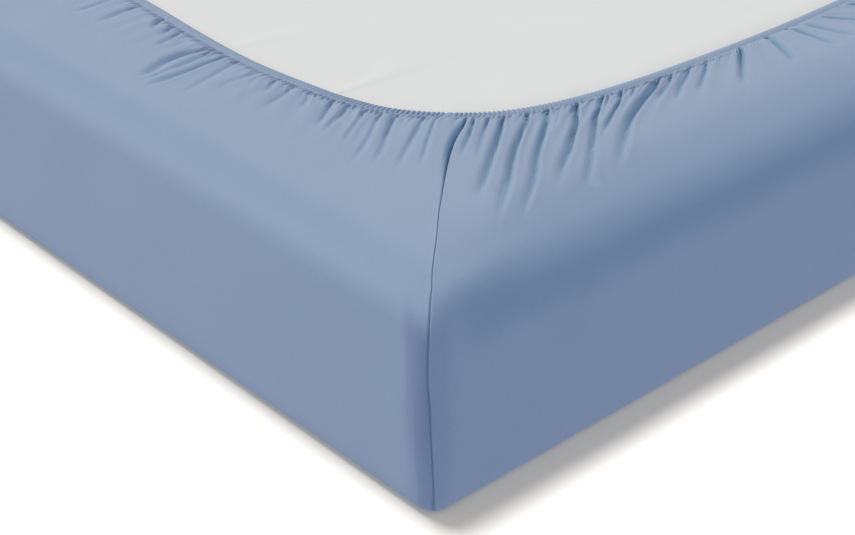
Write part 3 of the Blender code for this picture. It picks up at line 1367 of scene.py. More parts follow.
@dataclass(frozen=True)
class ThreadFinish:
    """Sewing thread of the cloth's colour, a little darker and smoother."""

    colour: Triple = (0.262, 0.336, 0.466)
    pale: Triple = (0.28, 0.36, 0.495)
    fibres: Noise = Noise(3000.0, 2.0)
    shades: Noise = Noise(60.0, 2.0)
    relief_strength: float = 0.3
    relief_height: float = 0.00005
    roughness: float = 0.7
    sheen: float = 0.1

    def make(self) -> Material:
        """The material.

        Returns:
            The finished material.
        """
        nodes = Nodes("sewing_thread")
        place = nodes.add("TexCoord").outputs["Object"]
        bump = nodes.feed(nodes.add("Bump"), Height=nodes.noise(place, self.fibres))
        nodes.feed(bump, Strength=self.relief_strength, Distance=self.relief_height)
        share = nodes.noise(place, self.shades)
        shade = nodes.mix(share, (*self.colour, 1.0), (*self.pale, 1.0))
        return nodes.surface(shade, self.roughness, self.sheen, bump)


@dataclass(frozen=True)
class CoverFinish:
    """White mattress cover, woven with a faint raised swirl of its own colour."""

    colour: Triple = (0.775, 0.764, 0.756)
    dark: Triple = (0.755, 0.744, 0.736)
    swirl: Noise = Noise(2.3, 0.0)
    swirl_twist: float = 1.0
    swirl_width: float = 0.036
    swirl_height: float = 0.0024
    weave: Noise = Noise(700.0, 2.0, 0.12)
    shades: Noise = Noise(9.0, 2.0)
    relief_strength: float = 0.3
    roughness: float = 0.9
    sheen: float = 0.15

    def make(self) -> Material:
        """The material, whose swirl follows the middle level of a twisted noise.

        Returns:
            The finished material.
        """
        nodes = Nodes("woven_cover")
        place = nodes.add("TexCoord").outputs["Object"]
        field = nodes.noise(place, self.swirl, self.swirl_twist)
        line = nodes.sum("ABSOLUTE", nodes.sum("SUBTRACT", field, 0.5))
        curve = nodes.add("MapRange", interpolation_type="SMOOTHSTEP")
        nodes.feed(curve, Value=line, From_Min=0.0, From_Max=self.swirl_width)
        nodes.feed(curve, To_Min=1.0, To_Max=0.0)
        height = nodes.sum("ADD", curve.outputs[0], nodes.noise(place, self.weave))
        bump = nodes.feed(nodes.add("Bump"), Height=height)
        nodes.feed(bump, Strength=self.relief_strength, Distance=self.swirl_height)
        share = nodes.noise(place, self.shades)
        shade = nodes.mix(share, (*self.colour, 1.0), (*self.dark, 1.0))
        return nodes.surface(shade, self.roughness, self.sheen, bump)


def linked(name: str, data: ID) -> Object:
    """A new object with its data, linked into the scene."""
    made = bpy.data.objects.new(name, data)
    bpy.context.scene.collection.objects.link(made)
    return made


def mesh_object(name: str, points: Array, faces: list[list[int]], material: Material) -> Object:
    """A smooth-shaded mesh object.

    Args:
        name: the piece's name.
        points: vertex positions.
        faces: vertex numbers, counter-clockwise from outside.
        material: its finish.

    Returns:
        The object, linked into the scene.
    """
    mesh = bpy.data.meshes.new(name)
    mesh.from_pydata(points.tolist(), [], faces)
    mesh.update()
    mesh.shade_smooth()
    mesh.materials.append(material)
    return linked(name, mesh)


def set_values(made: Object, name: str, values: Array) -> None:
    """Gives each vertex a number, which its material reads by name."""
    attribute = made.data.attributes.new(name, "FLOAT", "POINT")
    attribute.data.foreach_set("value", values.astype(np.float32))


def set_map(made: Object, u: Array, v: Array) -> None:
    """Gives each face's corners their places on the flat cloth, in metres."""
    layer = made.data.uv_layers.new(name="UVMap")
    layer.data.foreach_set("uv", np.stack([u, v], -1).astype(np.float32).ravel())


def declare(made: Object, slot: Slot, node: str | None = None) -> None:
    """Args:
        made: the piece.
        slot: its material slot.
        node: the CAD node that it stands for, if any.
    """
    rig.ride(made, "root")
    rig.slot(made, slot.value)
    if node:
        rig.replaces(made, node)
    made.data.calc_loop_triangles()
    LOG.info("%s: %d triangles", made.name, len(made.data.loop_triangles))


# ---- the sheet ----
@dataclass
class Ring:
    """One line of vertices round the mattress.

    columns holds the numbers of the columns that take part, points their positions, up the
    cloth's length from the foot to here, folded how much painted shade each point takes, from
    0 to 1, and base whether the ring lies in the base panel.
    """

    columns: Array
    points: Array
    up: Array
    folded: Array
    base: bool = False


class Lines(NamedTuple):
    """The columns' lines over the border: starts, ways out of the hem, ways and lengths."""

    start: Array
    out: Array
    way: Array
    length: Array

    def only(self, index: Array) -> "Lines":
        """Some of the lines."""
        return Lines(*(value[index] for value in self))

    def at(self, step: Array, straighten: float) -> Array:
        """Points of the lines, which leave the hem square and then turn to their end.

        Args:
            step: how far along each line, or minus for under the hem.
            straighten: how soon they turn.

        Returns:
            Distances from the corner along X and along Y.
        """
        if step[0] < 0:
            return self.start + self.out * step[:, None]
        bend = (step * np.exp(-step / straighten))[:, None]
        return self.start + self.way * step[:, None] + (self.out - self.way) * bend


@dataclass(frozen=True)
class PaintedRollShade:
    """The painted shade that the border takes where it rolls over a side.

    It comes in over a strip beside the edge, and with the distance from the next side.
    """

    share: float
    strip: float
    strip_fades: float
    next_from: float
    next_over: float

    def at(self, from_side: Array, from_next: Array) -> Array:
        """The painted shade at distances from the side and from the next one."""
        near = smooth((self.strip - from_side) / self.strip_fades)
        return self.share * near * smooth((from_next - self.next_from) / self.next_over)


class SideWave(NamedTuple):
    """A faint wave of the sides: its share, and how it turns round them and up them."""

    share: float
    round: float
    up: float


@dataclass
class FittedSheet:
    """The cloth without its hem: border, rounded edge, sides and base panel."""

    bed: Bed
    ring: Round
    relief: Relief
    weave: Weave
    finish: Material
    fine_steps: Steps = (
        -2.0, 0.0, 1.2, 2.4, 3.8, 5.3, 6.9, 8.6, 10.4, 12.4, 14.6, 17.0, 19.6, 22.4,
    )
    middle_steps: Steps = (25.4, 28.6, 32.2, 36.2, 40.6, 45.4, 50.6, 56.2, 62.0)
    outer_steps: int = 18
    outer_fine: int = 8
    edge_steps: int = 8
    side_steps: int = 12
    foot_steps: int = 3
    base_insets: Steps = (0.024, 0.040)
    straighten: float = 0.008
    edge_share: float = 0.17
    seam_spread: float = 0.030
    groove_deep: float = 0.0011
    groove_width: float = 0.00055
    groove_starts: float = 0.004
    # Painted shade in the seam's groove.
    groove_shade: float = 0.7
    lip_high: float = 0.00025
    lip_at: float = 0.0019
    lip_width: float = 0.0009
    fold_starts: float = 0.003
    # The seam's fold takes full painted shade at this depth.
    fold_shaded: float = 0.0036
    stitch_lift: float = 0.0006
    stitch_aside: float = 0.0005
    stitch_from: float = 0.007
    stitch_skips: int = 2
    fork_from: float = 0.015
    fork_over: float = 0.012
    fork_width: float = 0.0022
    side_waves: tuple[SideWave, ...] = (SideWave(1.0, 21, 9), SideWave(0.6, 47, -30))
    side_waves_from: tuple[float, float] = (0.02, 0.05)
    side_waves_to: tuple[float, float] = (0.20, 0.04)
    side_relief: float = 0.0005
    side_bulge: float = 0.0030
    # Painted shade where the border rolls over the short and the long sides.
    short_roll_shade: PaintedRollShade = PaintedRollShade(0.24, 0.046, 0.024, 0.010, 0.050)
    short_roll_down: float = 0.030
    long_roll_shade: PaintedRollShade = PaintedRollShade(0.19, 0.062, 0.026, 0.020, 0.060)
    long_roll_out: tuple[float, float] = (0.006, 0.016)

    def stray(self, from_seam: Array) -> Array:
        """How much of the seam's stray the cloth shares at a distance from it."""
        return np.exp(-((from_seam / self.seam_spread) ** 2))

    def groove(self, edge: Array, apart: Array | float = 0.0) -> Array:
        """Heights of the seam's groove and its two lips; apart is how far it has split in two."""
        gap = np.abs(edge)
        hollow = self.groove_deep * np.exp(-(((gap - apart) / self.groove_width) ** 2))
        return self.lip_high * np.exp(-(((gap - self.lip_at) / self.lip_width) ** 2)) - hollow

    def painted_groove_shade(self, edge: Array) -> Array:
        """The painted shade of the seam's groove at distances from the seam."""
        return self.groove_shade * np.exp(-((edge / self.groove_width) ** 2))

    def painted_roll_shade(self, place: Array, below: Array | float = 0.0) -> Array:
        """The painted shade where the border rolls over the sides, from 0 to 1.

        Args:
            place: points from the corner.
            below: how far they lie below the edge's rounding.

        Returns:
            The painted shade of each point.
        """
        from_long, from_short = place.T
        short = self.short_roll_shade.at(from_short, from_long)
        starts, fades = self.long_roll_out
        long = self.long_roll_shade.at(from_long, from_short) * smooth((from_long - starts) / fades)
        return np.maximum(short * (1 - smooth(below / self.short_roll_down)), long)

    @staticmethod
    def seam_fold(columns: Columns, place: Array, part: Array) -> Array:
        """How deep the border lies in the fold along its seam, in one ring.

        Args:
            columns: the ring's columns.
            place: its points, from the corner.
            part: the way from the hem to the edge at each.

        Returns:
            Depths in metres.
        """
        seams = np.nonzero(columns.edge == 0)[0]
        owner = seams[((columns.sign[:, None] == columns.sign[seams][None]).all(2)).argmax(1)]
        away = place - place[owner]
        across = (away[:, 0] - away[:, 1]) / math.sqrt(2)
        rows = np.array(SEAM_FOLD)
        deep, left, right = (through(rows[:, [0, k]], part) * MM for k in (1, 2, 3))
        return deep * trough(across, left, right)

    def sway(self, columns: Columns, part: Array) -> Array:
        """How far the border follows the seam's stray, in one ring.

        Args:
            columns: the ring's columns.
            part: the way from the hem to the edge at each.

        Returns:
            Moves along X and along Y.
        """
        sway = through(SEAM_ON_BORDER, part) * MM - SEAM_ON_BORDER[-1].stray * MM * part
        from_seam = np.abs(columns.mouth - self.weave.seam_place) * (1 - part)
        from_seam = from_seam + np.abs(columns.edge) * part
        sway = sway * self.stray(from_seam) / math.sqrt(2)
        return np.stack([sway, -sway], 1)

    def ends(self, columns: Columns) -> Array:
        """Where the columns meet the outline, with the seam's stray there."""
        return columns.edge + SEAM_ON_BORDER[-1].stray * MM * self.stray(columns.edge)

    def up_to_edge(self, columns: Columns) -> Array:
        """The cloth's length from the foot to where the border begins."""
        wide, deep = self.bed.edge_size(columns.edge)
        return self.bed.border_top - deep + math.pi / 4 * (wide + deep)

    def wall(self, columns: Columns, inset: Array | float, height: Array, turned: float) -> Array:
        """Points of one ring on the edge, sides or foot.

        Args:
            columns: the columns that take part.
            inset: how far in from the sides the ring lies.
            height: its height over the floor, at each column.
            turned: 0 where the cloth faces up, 1 where it faces out, 2 where it faces down.

        Returns:
            Positions.
        """
        stray = through(SEAM_ON_SIDE, height / MM) * MM
        edge = columns.edge + stray * self.stray(columns.edge)
        point = self.bed.edge_point(edge, inset)
        span = self.bed.edge_point(edge + MM, inset) - self.bed.edge_point(edge - MM, inset)
        out = np.stack([span[:, 1], -span[:, 0]], 1)
        out /= np.hypot(*out.T)[:, None]
        apart = self.fork_width * smooth((self.fork_from - height) / self.fork_over)
        bulge = self.groove(columns.edge, apart) * (1 - float(smooth(turned - 1)))
        wave = sum(
            wave.share * np.sin(columns.turn * wave.round + wave.up * height)
            for wave in self.side_waves
        )
        (low, low_over), (high, high_over) = self.side_waves_from, self.side_waves_to
        fade = smooth((height - low) / low_over) * smooth((high - height) / high_over)
        bulge = bulge + self.side_relief * wave * fade * (1 - self.stray(columns.edge))
        angle = turned * math.pi / 2
        risen = np.clip(height / self.bed.border_top, 0.0, 1.0)
        bulge = bulge + self.side_bulge * 4 * risen * (1 - risen) * math.sin(angle) ** 2
        point = point + out * (bulge * math.sin(angle))[:, None]
        plan = to_world(self.bed, columns.sign, point)
        return np.column_stack([plan, height + bulge * math.cos(angle)])

    def border_rings(self, columns: Columns) -> list[Ring]:
        """The rings from under the hem to where the edge's rounding begins.

        Args:
            columns: every column.

        Returns:
            The rings, in order.
        """
        fine, middle, outer = (columns.left_at(level) for level in range(3))
        start, out = self.ring.mouth.at(columns.mouth)
        start = start + out * HEM_WIDTH
        wide, _ = self.bed.edge_size(columns.edge)
        chord = self.bed.edge_point(self.ends(columns), wide) - start
        length = np.hypot(*chord.T)
        lines = Lines(start, out, chord / length[:, None], length)
        steps = [(fine, np.full(len(fine), step * MM)) for step in self.fine_steps]
        steps += [(middle, np.full(len(middle), step * MM)) for step in self.middle_steps]
        last = self.middle_steps[-1] * MM
        for k in range(1, self.outer_steps):
            which = middle if k <= self.outer_fine else outer
            steps.append((which, last + (length[which] - last) * k / self.outer_steps))
        places, aways, folds = [], [], []
        for which, step in steps:
            some, line = columns.only(which), lines.only(which)
            part = np.clip(step / line.length, 0.0, 1.0)
            place = line.at(step, self.straighten) + self.sway(some, part)
            places.append(place)
            folds.append(self.seam_fold(some, place, part))
            aways.append(np.maximum(((place - line.start) * line.out).sum(1), 0.0))
        every = np.concatenate([which for which, _ in steps])
        place, away, fold = (np.concatenate(parts) for parts in (places, aways, folds))
        points, folded = self.raised(columns.only(every), place, away, fold)
        splits = np.cumsum([len(which) for which, _ in steps])[:-1]
        up = self.up_to_edge(columns)
        parts, shades = np.split(points, splits), np.split(folded, splits)
        return [
            Ring(which, part, up[which] + length[which] - step, shade)
            for (which, step), part, shade in zip(steps, parts, shades)
        ]

    def raised(self, columns: Columns, place: Array, away: Array, fold: Array) -> tuple[Array, Array]:
        """The border's points at their heights.

        Args:
            columns: the column of each point.
            place: the points' distances from the corner.
            away: their distances from the stitch line.
            fold: how deep they lie in the seam's fold.

        Returns:
            Positions, and the painted shade at each, from 0 to 1.
        """
        plan = to_world(self.bed, columns.sign, place)
        height, folded = self.relief.at(columns, plan, away, place.min(1))
        fold = fold * smooth(away / self.fold_starts)
        height += self.groove(columns.edge) * smooth(away / self.groove_starts) - fold
        # Painted shade in the seam's fold, in its groove and where the border rolls over the sides.
        folded = np.maximum(folded, smooth(fold / self.fold_shaded))
        folded = np.maximum(folded, self.painted_groove_shade(columns.edge))
        folded = np.maximum(folded, self.painted_roll_shade(place))
        level = self.bed.border_top - self.bed.fallen(place[:, 1])
        return np.column_stack([plan, level + height]), folded

    def side_rings(self, columns: Columns) -> list[Ring]:
        """The rings over the rounded edge and down the sides.

        Args:
            columns: every column.

        Returns:
            The rings, in order.
        """
        bed, which = self.bed, columns.left_at(self.weave.coarsest - 1)
        up = self.up_to_edge(columns)[which]
        ends = self.ends(columns)[which]
        columns = columns.only(which)
        wide, deep = bed.edge_size(columns.edge)
        # The seam groove's painted shade; the painted shade where the border rolls over the side joins it.
        marks = self.painted_groove_shade(columns.edge)
        rings = []
        for k in range(self.edge_steps + 1):
            angle = math.pi / 2 * k / self.edge_steps
            inset = wide * (1 - math.sin(angle))
            place = bed.edge_point(ends, inset)
            level = bed.border_top - bed.fallen(place[:, 1]) - deep * (1 - math.cos(angle))
            level = level + self.relief.outer(columns, place)
            points = self.wall(columns, inset, level, k / self.edge_steps)
            left = up * (1 - self.edge_share * k / self.edge_steps)
            rings.append(Ring(which, points, left, np.maximum(marks, self.painted_roll_shade(place))))
        top = level
        for k in range(1, self.side_steps + 1):
            level = top + (bed.foot_radius - top) * k / self.side_steps
            points = self.wall(columns, 0.0, level, 1.0)
            # Painted shade where the border rolls over the side, fading down it.
            shade = np.maximum(marks, self.painted_roll_shade(place, top - level))
            rings.append(Ring(which, points, level, shade))
        return rings

    def foot_rings(self, columns: Columns) -> list[Ring]:
        """The rings round the foot and into the base panel.

        Args:
            columns: every column.

        Returns:
            The rings, in order.
        """
        which = columns.left_at(self.weave.coarsest)
        columns = columns.only(which)
        # The seam groove's painted shade.
        marks = self.painted_groove_shade(columns.edge)
        radius = self.bed.foot_radius
        rings = []
        for k in range(1, self.foot_steps + 1):
            angle = math.pi / 2 * k / self.foot_steps
            level = np.full(len(which), radius * (1 - math.sin(angle)))
            inset = radius * (1 - math.cos(angle))
            points = self.wall(columns, inset, level, 1 + k / self.foot_steps)
            rings.append(Ring(which, points, level, marks, k == self.foot_steps))
        ground = np.zeros(len(which))
        for inset in self.base_insets:
            rings.append(Ring(which, self.wall(columns, inset, ground, 2.0), ground, marks, True))
        return rings

    def seam_lines(
        self, columns: Columns, rings: list[Ring], normals: Array
    ) -> list[tuple[Array, Array]]:
        """Lines up the four corner seams, for their stitches.

        Args:
            columns: the sheet's columns.
            rings: its rings.
            normals: the cloth's normals, for every vertex in the rings' order.

        Returns:
            For each seam its points, just over the groove, and the way across it.
        """
        lines = [([], []) for _ in CORNERS]
        at = 0
        for ring in rings:
            seams = np.nonzero(columns.edge[ring.columns] == 0)[0]
            if at:
                for (points, normal), seam in zip(lines, seams):
                    if ring.points[seam, 2] > self.stitch_from:
                        points.append(ring.points[seam])
                        normal.append(normals[at + seam])
            at += len(ring.columns)
        made = []
        for points, normal in lines:
            points, normal = (np.array(found)[self.stitch_skips :] for found in (points, normal))
            across = np.cross(np.gradient(points, axis=0), normal)
            across /= np.linalg.norm(across, axis=1, keepdims=True)
            aside = across * self.stitch_aside
            made.append((points + normal * self.stitch_lift + aside, across))
        return made

    @staticmethod
    def between(inner: Ring, outer: Ring, inner_at: int, outer_at: int, count: int) -> list[list[int]]:
        """Faces between two rings, the second of which may have fewer columns.

        Args:
            inner: the ring nearer the mouth.
            outer: the next one.
            inner_at: number of the first's first vertex.
            outer_at: number of the second's first vertex.
            count: how many columns there are in all.

        Returns:
            Vertex numbers of each face.
        """
        if len(inner.columns) == len(outer.columns):
            a = np.arange(len(inner.columns))
            b = np.roll(a, -1)
            quads = [inner_at + a, outer_at + a, outer_at + b, inner_at + b]
            return np.stack(quads, 1).tolist()
        slots = np.full(count, -1)
        slots[inner.columns] = np.arange(len(inner.columns))
        marks = slots[outer.columns]
        faces = []
        for k, here in enumerate(marks):
            there = marks[(k + 1) % len(marks)]
            if there <= here:
                there += len(inner.columns)
            steps = [inner_at + m % len(inner.columns) for m in range(here, there + 1)]
            left, right = outer_at + k, outer_at + (k + 1) % len(marks)
            half = (len(steps) - 1) // 2
            if len(steps) == 2:
                faces.append([steps[0], left, right, steps[1]])
                continue
            faces += [[steps[m], left, steps[m + 1]] for m in range(half)]
            faces.append([steps[half], left, right])
            faces += [[steps[m], right, steps[m + 1]] for m in range(half, len(steps) - 1)]
        return faces

    @staticmethod
    def allowance(edge: Array, points: Array) -> Array:
        """Where the turned-in seam allowance doubles the cloth behind the upright corner on the long side, and a faint
        darkening of the short side next to the seam.

        Args:
            edge: the vertices' distances from the seam, minus on the long side.
            points: their positions.

        Returns:
            Its shade at each, from 0 to 1.
        """
        # The short side is only darkened a little next to the seam.
        short_share, short_width, short_soft = 0.35, 6, 22
        top, top_slope, top_soft = 204, 0.3, 26
        height, gap = points[:, 2] / MM, np.abs(edge) / MM
        soft = read(ALLOWANCE_SOFT, height)
        long = 1 - smooth((gap - read(ALLOWANCE_WIDTH, height) + soft / 2) / soft)
        short = short_share * (1 - smooth((gap - short_width) / short_soft))
        fade = smooth((top - height + gap * top_slope) / top_soft)
        return np.where(edge < 0, long, short) * fade * read(ALLOWANCE_SHARE, height)

    def build(self) -> tuple[Object, list[tuple[Array, Array]]]:
        """Makes the cloth with its flat cut as its map.

        Returns:
            The piece, and the lines of its corner seams.
        """
        columns = self.weave.columns(self.bed, self.ring)
        rings = self.border_rings(columns) + self.side_rings(columns) + self.foot_rings(columns)
        faces, at = [], 0
        for inner, outer in zip(rings, rings[1:]):
            size = len(inner.columns)
            faces += self.between(inner, outer, at, at + size, len(columns.edge))
            at += size
        faces.append(list(range(at, at + len(rings[-1].columns))))
        points = np.concatenate([ring.points for ring in rings])
        made = mesh_object("fitted_sheet", points, faces, self.finish)
        self.lay_flat(made, points, columns, rings)
        edge = np.concatenate([columns.edge[ring.columns] for ring in rings])
        set_values(made, "allowance", self.allowance(edge, points))
        # Painted shade of the creases, the seam's fold and groove, and the rolls over the sides.
        set_values(made, "folded", np.concatenate([ring.folded for ring in rings]))
        normals = np.empty(len(points) * 3, np.float32)
        made.data.vertices.foreach_get("normal", normals)
        return made, self.seam_lines(columns, rings, normals.reshape(-1, 3))

    def lay_flat(self, made: Object, points: Array, columns: Columns, rings: list[Ring]) -> None:
        """Maps each face on the flat cut: the base in the middle, the sides round it.

        Args:
            made: the cloth.
            points: its vertices.
            columns: its columns.
            rings: its rings.
        """
        every = np.concatenate([ring.columns for ring in rings])
        edge, sign = columns.edge[every], columns.sign[every]
        up = np.concatenate([ring.up for ring in rings])
        base = np.concatenate([np.full(len(ring.columns), ring.base) for ring in rings])
        mesh = made.data
        vertex = np.empty(len(mesh.loops), int)
        mesh.loops.foreach_get("vertex_index", vertex)
        sizes = np.empty(len(mesh.polygons), int)
        mesh.polygons.foreach_get("loop_total", sizes)
        face = np.repeat(np.arange(len(sizes)), sizes)
        short = np.bincount(face, edge[vertex])[face] > 0
        flat = (np.bincount(face, base[vertex]) == sizes)[face]
        along = self.bed.half(short) - np.abs(edge[vertex])
        across = self.bed.half(~short) + up[vertex]
        u = sign[vertex, 0] * np.where(short, along, across)
        v = sign[vertex, 1] * np.where(short, across, along)
        u = np.where(flat, points[vertex, 0], u)
        v = np.where(flat, points[vertex, 1], v)
        set_map(made, u, v)


# ---- the hem ----
@dataclass
class HemCasing:
    """The narrow band that holds the elastic, crimped where it is gathered most."""

    bed: Bed
    gathers: Gathers
    finish: Material
    middle_in: float = 0.2149
    middle_out: float = 0.2157
    above: float = 0.0022
    under: float = 0.0009
    outer_left: float = 0.12
    roundness: float = 2.6
    crimp: float = 0.0020
    crimp_spread: float = 1.3
    puff: float = 0.0006
    scallop: float = 0.0022
    hollow_reach: float = 0.20
    # Painted shade in the gaps between crimps.
    hollow_shade: float = 0.5
    top: Steps = (0.0, 0.03, 0.12, 0.28, 0.48, 0.70, 0.88, 0.97, 1.0)
    underside: Steps = (0.80, 0.50, 0.20)
    near_steps: Steps = (0.0, 0.10, 0.28, 0.50, 0.72, 0.90)
    far_steps: Steps = (0.0, 0.14, 0.50, 0.86)
    near_from: float = -0.53
    near_to: float = 0.44

    def hollow(self, gone: Array) -> Array:
        """1 in a gap between crimps, 0 in a crimp's middle, by the share of the crimp passed."""
        return np.exp(-((gone / self.hollow_reach) ** 2))

    def section(self, turn: Array, hollow: Array, share: float, under: bool = False) -> Array:
        """Points of the band at one share of its width.

        Args:
            turn: places round the mouth.
            hollow: 1 in the gaps between crimps, 0 in their middles.
            share: 0 at the mouth's edge, 1 at the stitch line.
            under: whether the underside is wanted.

        Returns:
            Positions.
        """
        index, place = self.gathers.ring.place(turn)
        casing, _, slant = self.gathers.shares(place)
        point, out = self.gathers.ring.mouth.at(place + slant * HEM_WIDTH * share)
        notch = casing * self.scallop * hollow * (1 - share) ** 2
        point = point + out * (HEM_WIDTH * share + notch)[:, None]
        thick = (1 - abs(2 * share - 1) ** self.roundness) ** 0.5
        if share > 0.5:
            thick = 1 - (1 - self.outer_left) * float(smooth(2 * share - 1))
        middle = self.middle_in + (self.middle_out - self.middle_in) * share
        if under:
            height = np.full(len(turn), middle - self.under * thick)
        else:
            crimp = self.puff * (1 - hollow) - self.crimp * hollow
            crimp = casing * crimp * min(1.0, thick * self.crimp_spread)
            height = middle + self.above * thick + crimp
        sign = np.array(CORNERS, float)[index]
        return np.column_stack([to_world(self.bed, sign, point), height])

    def build(self) -> Object:
        """Makes the band as one closed tube.

        Returns:
            The finished piece.
        """
        ring = self.gathers.ring
        gaps = self.gathers.gaps
        widths = np.diff(np.append(gaps, gaps[0] + ring.length))
        index, place = ring.place(gaps)
        turns, hollows = [], []
        for gap, width, corner, at in zip(gaps, widths, index, place):
            near = corner == 0 and self.near_from < at < self.near_to
            steps = np.array(self.near_steps if near else self.far_steps)
            turns.append(gap + width * steps)
            hollows.append(self.hollow(np.minimum(steps, 1 - steps)))
        turn, hollow = np.concatenate(turns), np.concatenate(hollows)
        rows = [self.section(turn, hollow, share) for share in self.top]
        rows += [self.section(turn, hollow, share, under=True) for share in self.underside]
        points = np.stack(rows, 1)
        count, deep = points.shape[:2]
        a = np.arange(count)[:, None] * deep
        b = np.roll(a, -1, axis=0)
        k = np.arange(deep)
        after = (k + 1) % deep
        quads = np.stack([a + k, a + after, b + after, b + k], 2).reshape(-1, 4)
        made = mesh_object("hem_casing", points.reshape(-1, 3), quads.tolist(), self.finish)
        self.lay_flat(made, turn, deep, quads)
        casing, _, _ = self.gathers.shares(ring.place(turn)[1])
        # Painted shade in the gaps between the crimps.
        shade = hollow * np.minimum(casing, 1.0) * self.hollow_shade
        set_values(made, "folded", np.repeat(shade, deep))
        return made

    def lay_flat(self, made: Object, turn: Array, deep: int, quads: Array) -> None:
        """Maps the band by its length and its way round.

        Args:
            made: the band.
            turn: places of its sections round the mouth.
            deep: how many points a section has.
            quads: its faces.
        """
        column, k = quads // deep, quads % deep
        closes = (column == 0) & (column.max(1, keepdims=True) == len(turn) - 1)
        u = turn[column] + np.where(closes, self.gathers.ring.length, 0.0)
        last = (k == 0) & (k.max(1, keepdims=True) == deep - 1)
        set_map(made, u, np.where(last, deep, k) * 2 * HEM_WIDTH / deep)

    def line(self, share: float, lift: float, step: float) -> tuple[Array, Array]:
        """A line along the band's top for stitches, at one share of its width.

        Args:
            share: 0 at the mouth's edge, 1 at the stitch line.
            lift: how far over the band.
            step: the distance between its points.

        Returns:
            Its points and the way across it.
        """
        aside = 0.1
        ring = self.gathers.ring
        gaps = self.gathers.gaps
        turn = np.arange(round(ring.length / step)) * ring.length / round(ring.length / step)
        i = np.searchsorted(gaps, turn) - 1
        past = np.mod(turn - gaps[i], ring.length)
        left = np.mod(gaps[(i + 1) % len(gaps)] - turn, ring.length)
        hollow = self.hollow(np.minimum(past, left) / (past + left))
        points = self.section(turn, hollow, share)
        across = points - self.section(turn, hollow, share - aside)
        points[:, 2] += lift
        return points, across


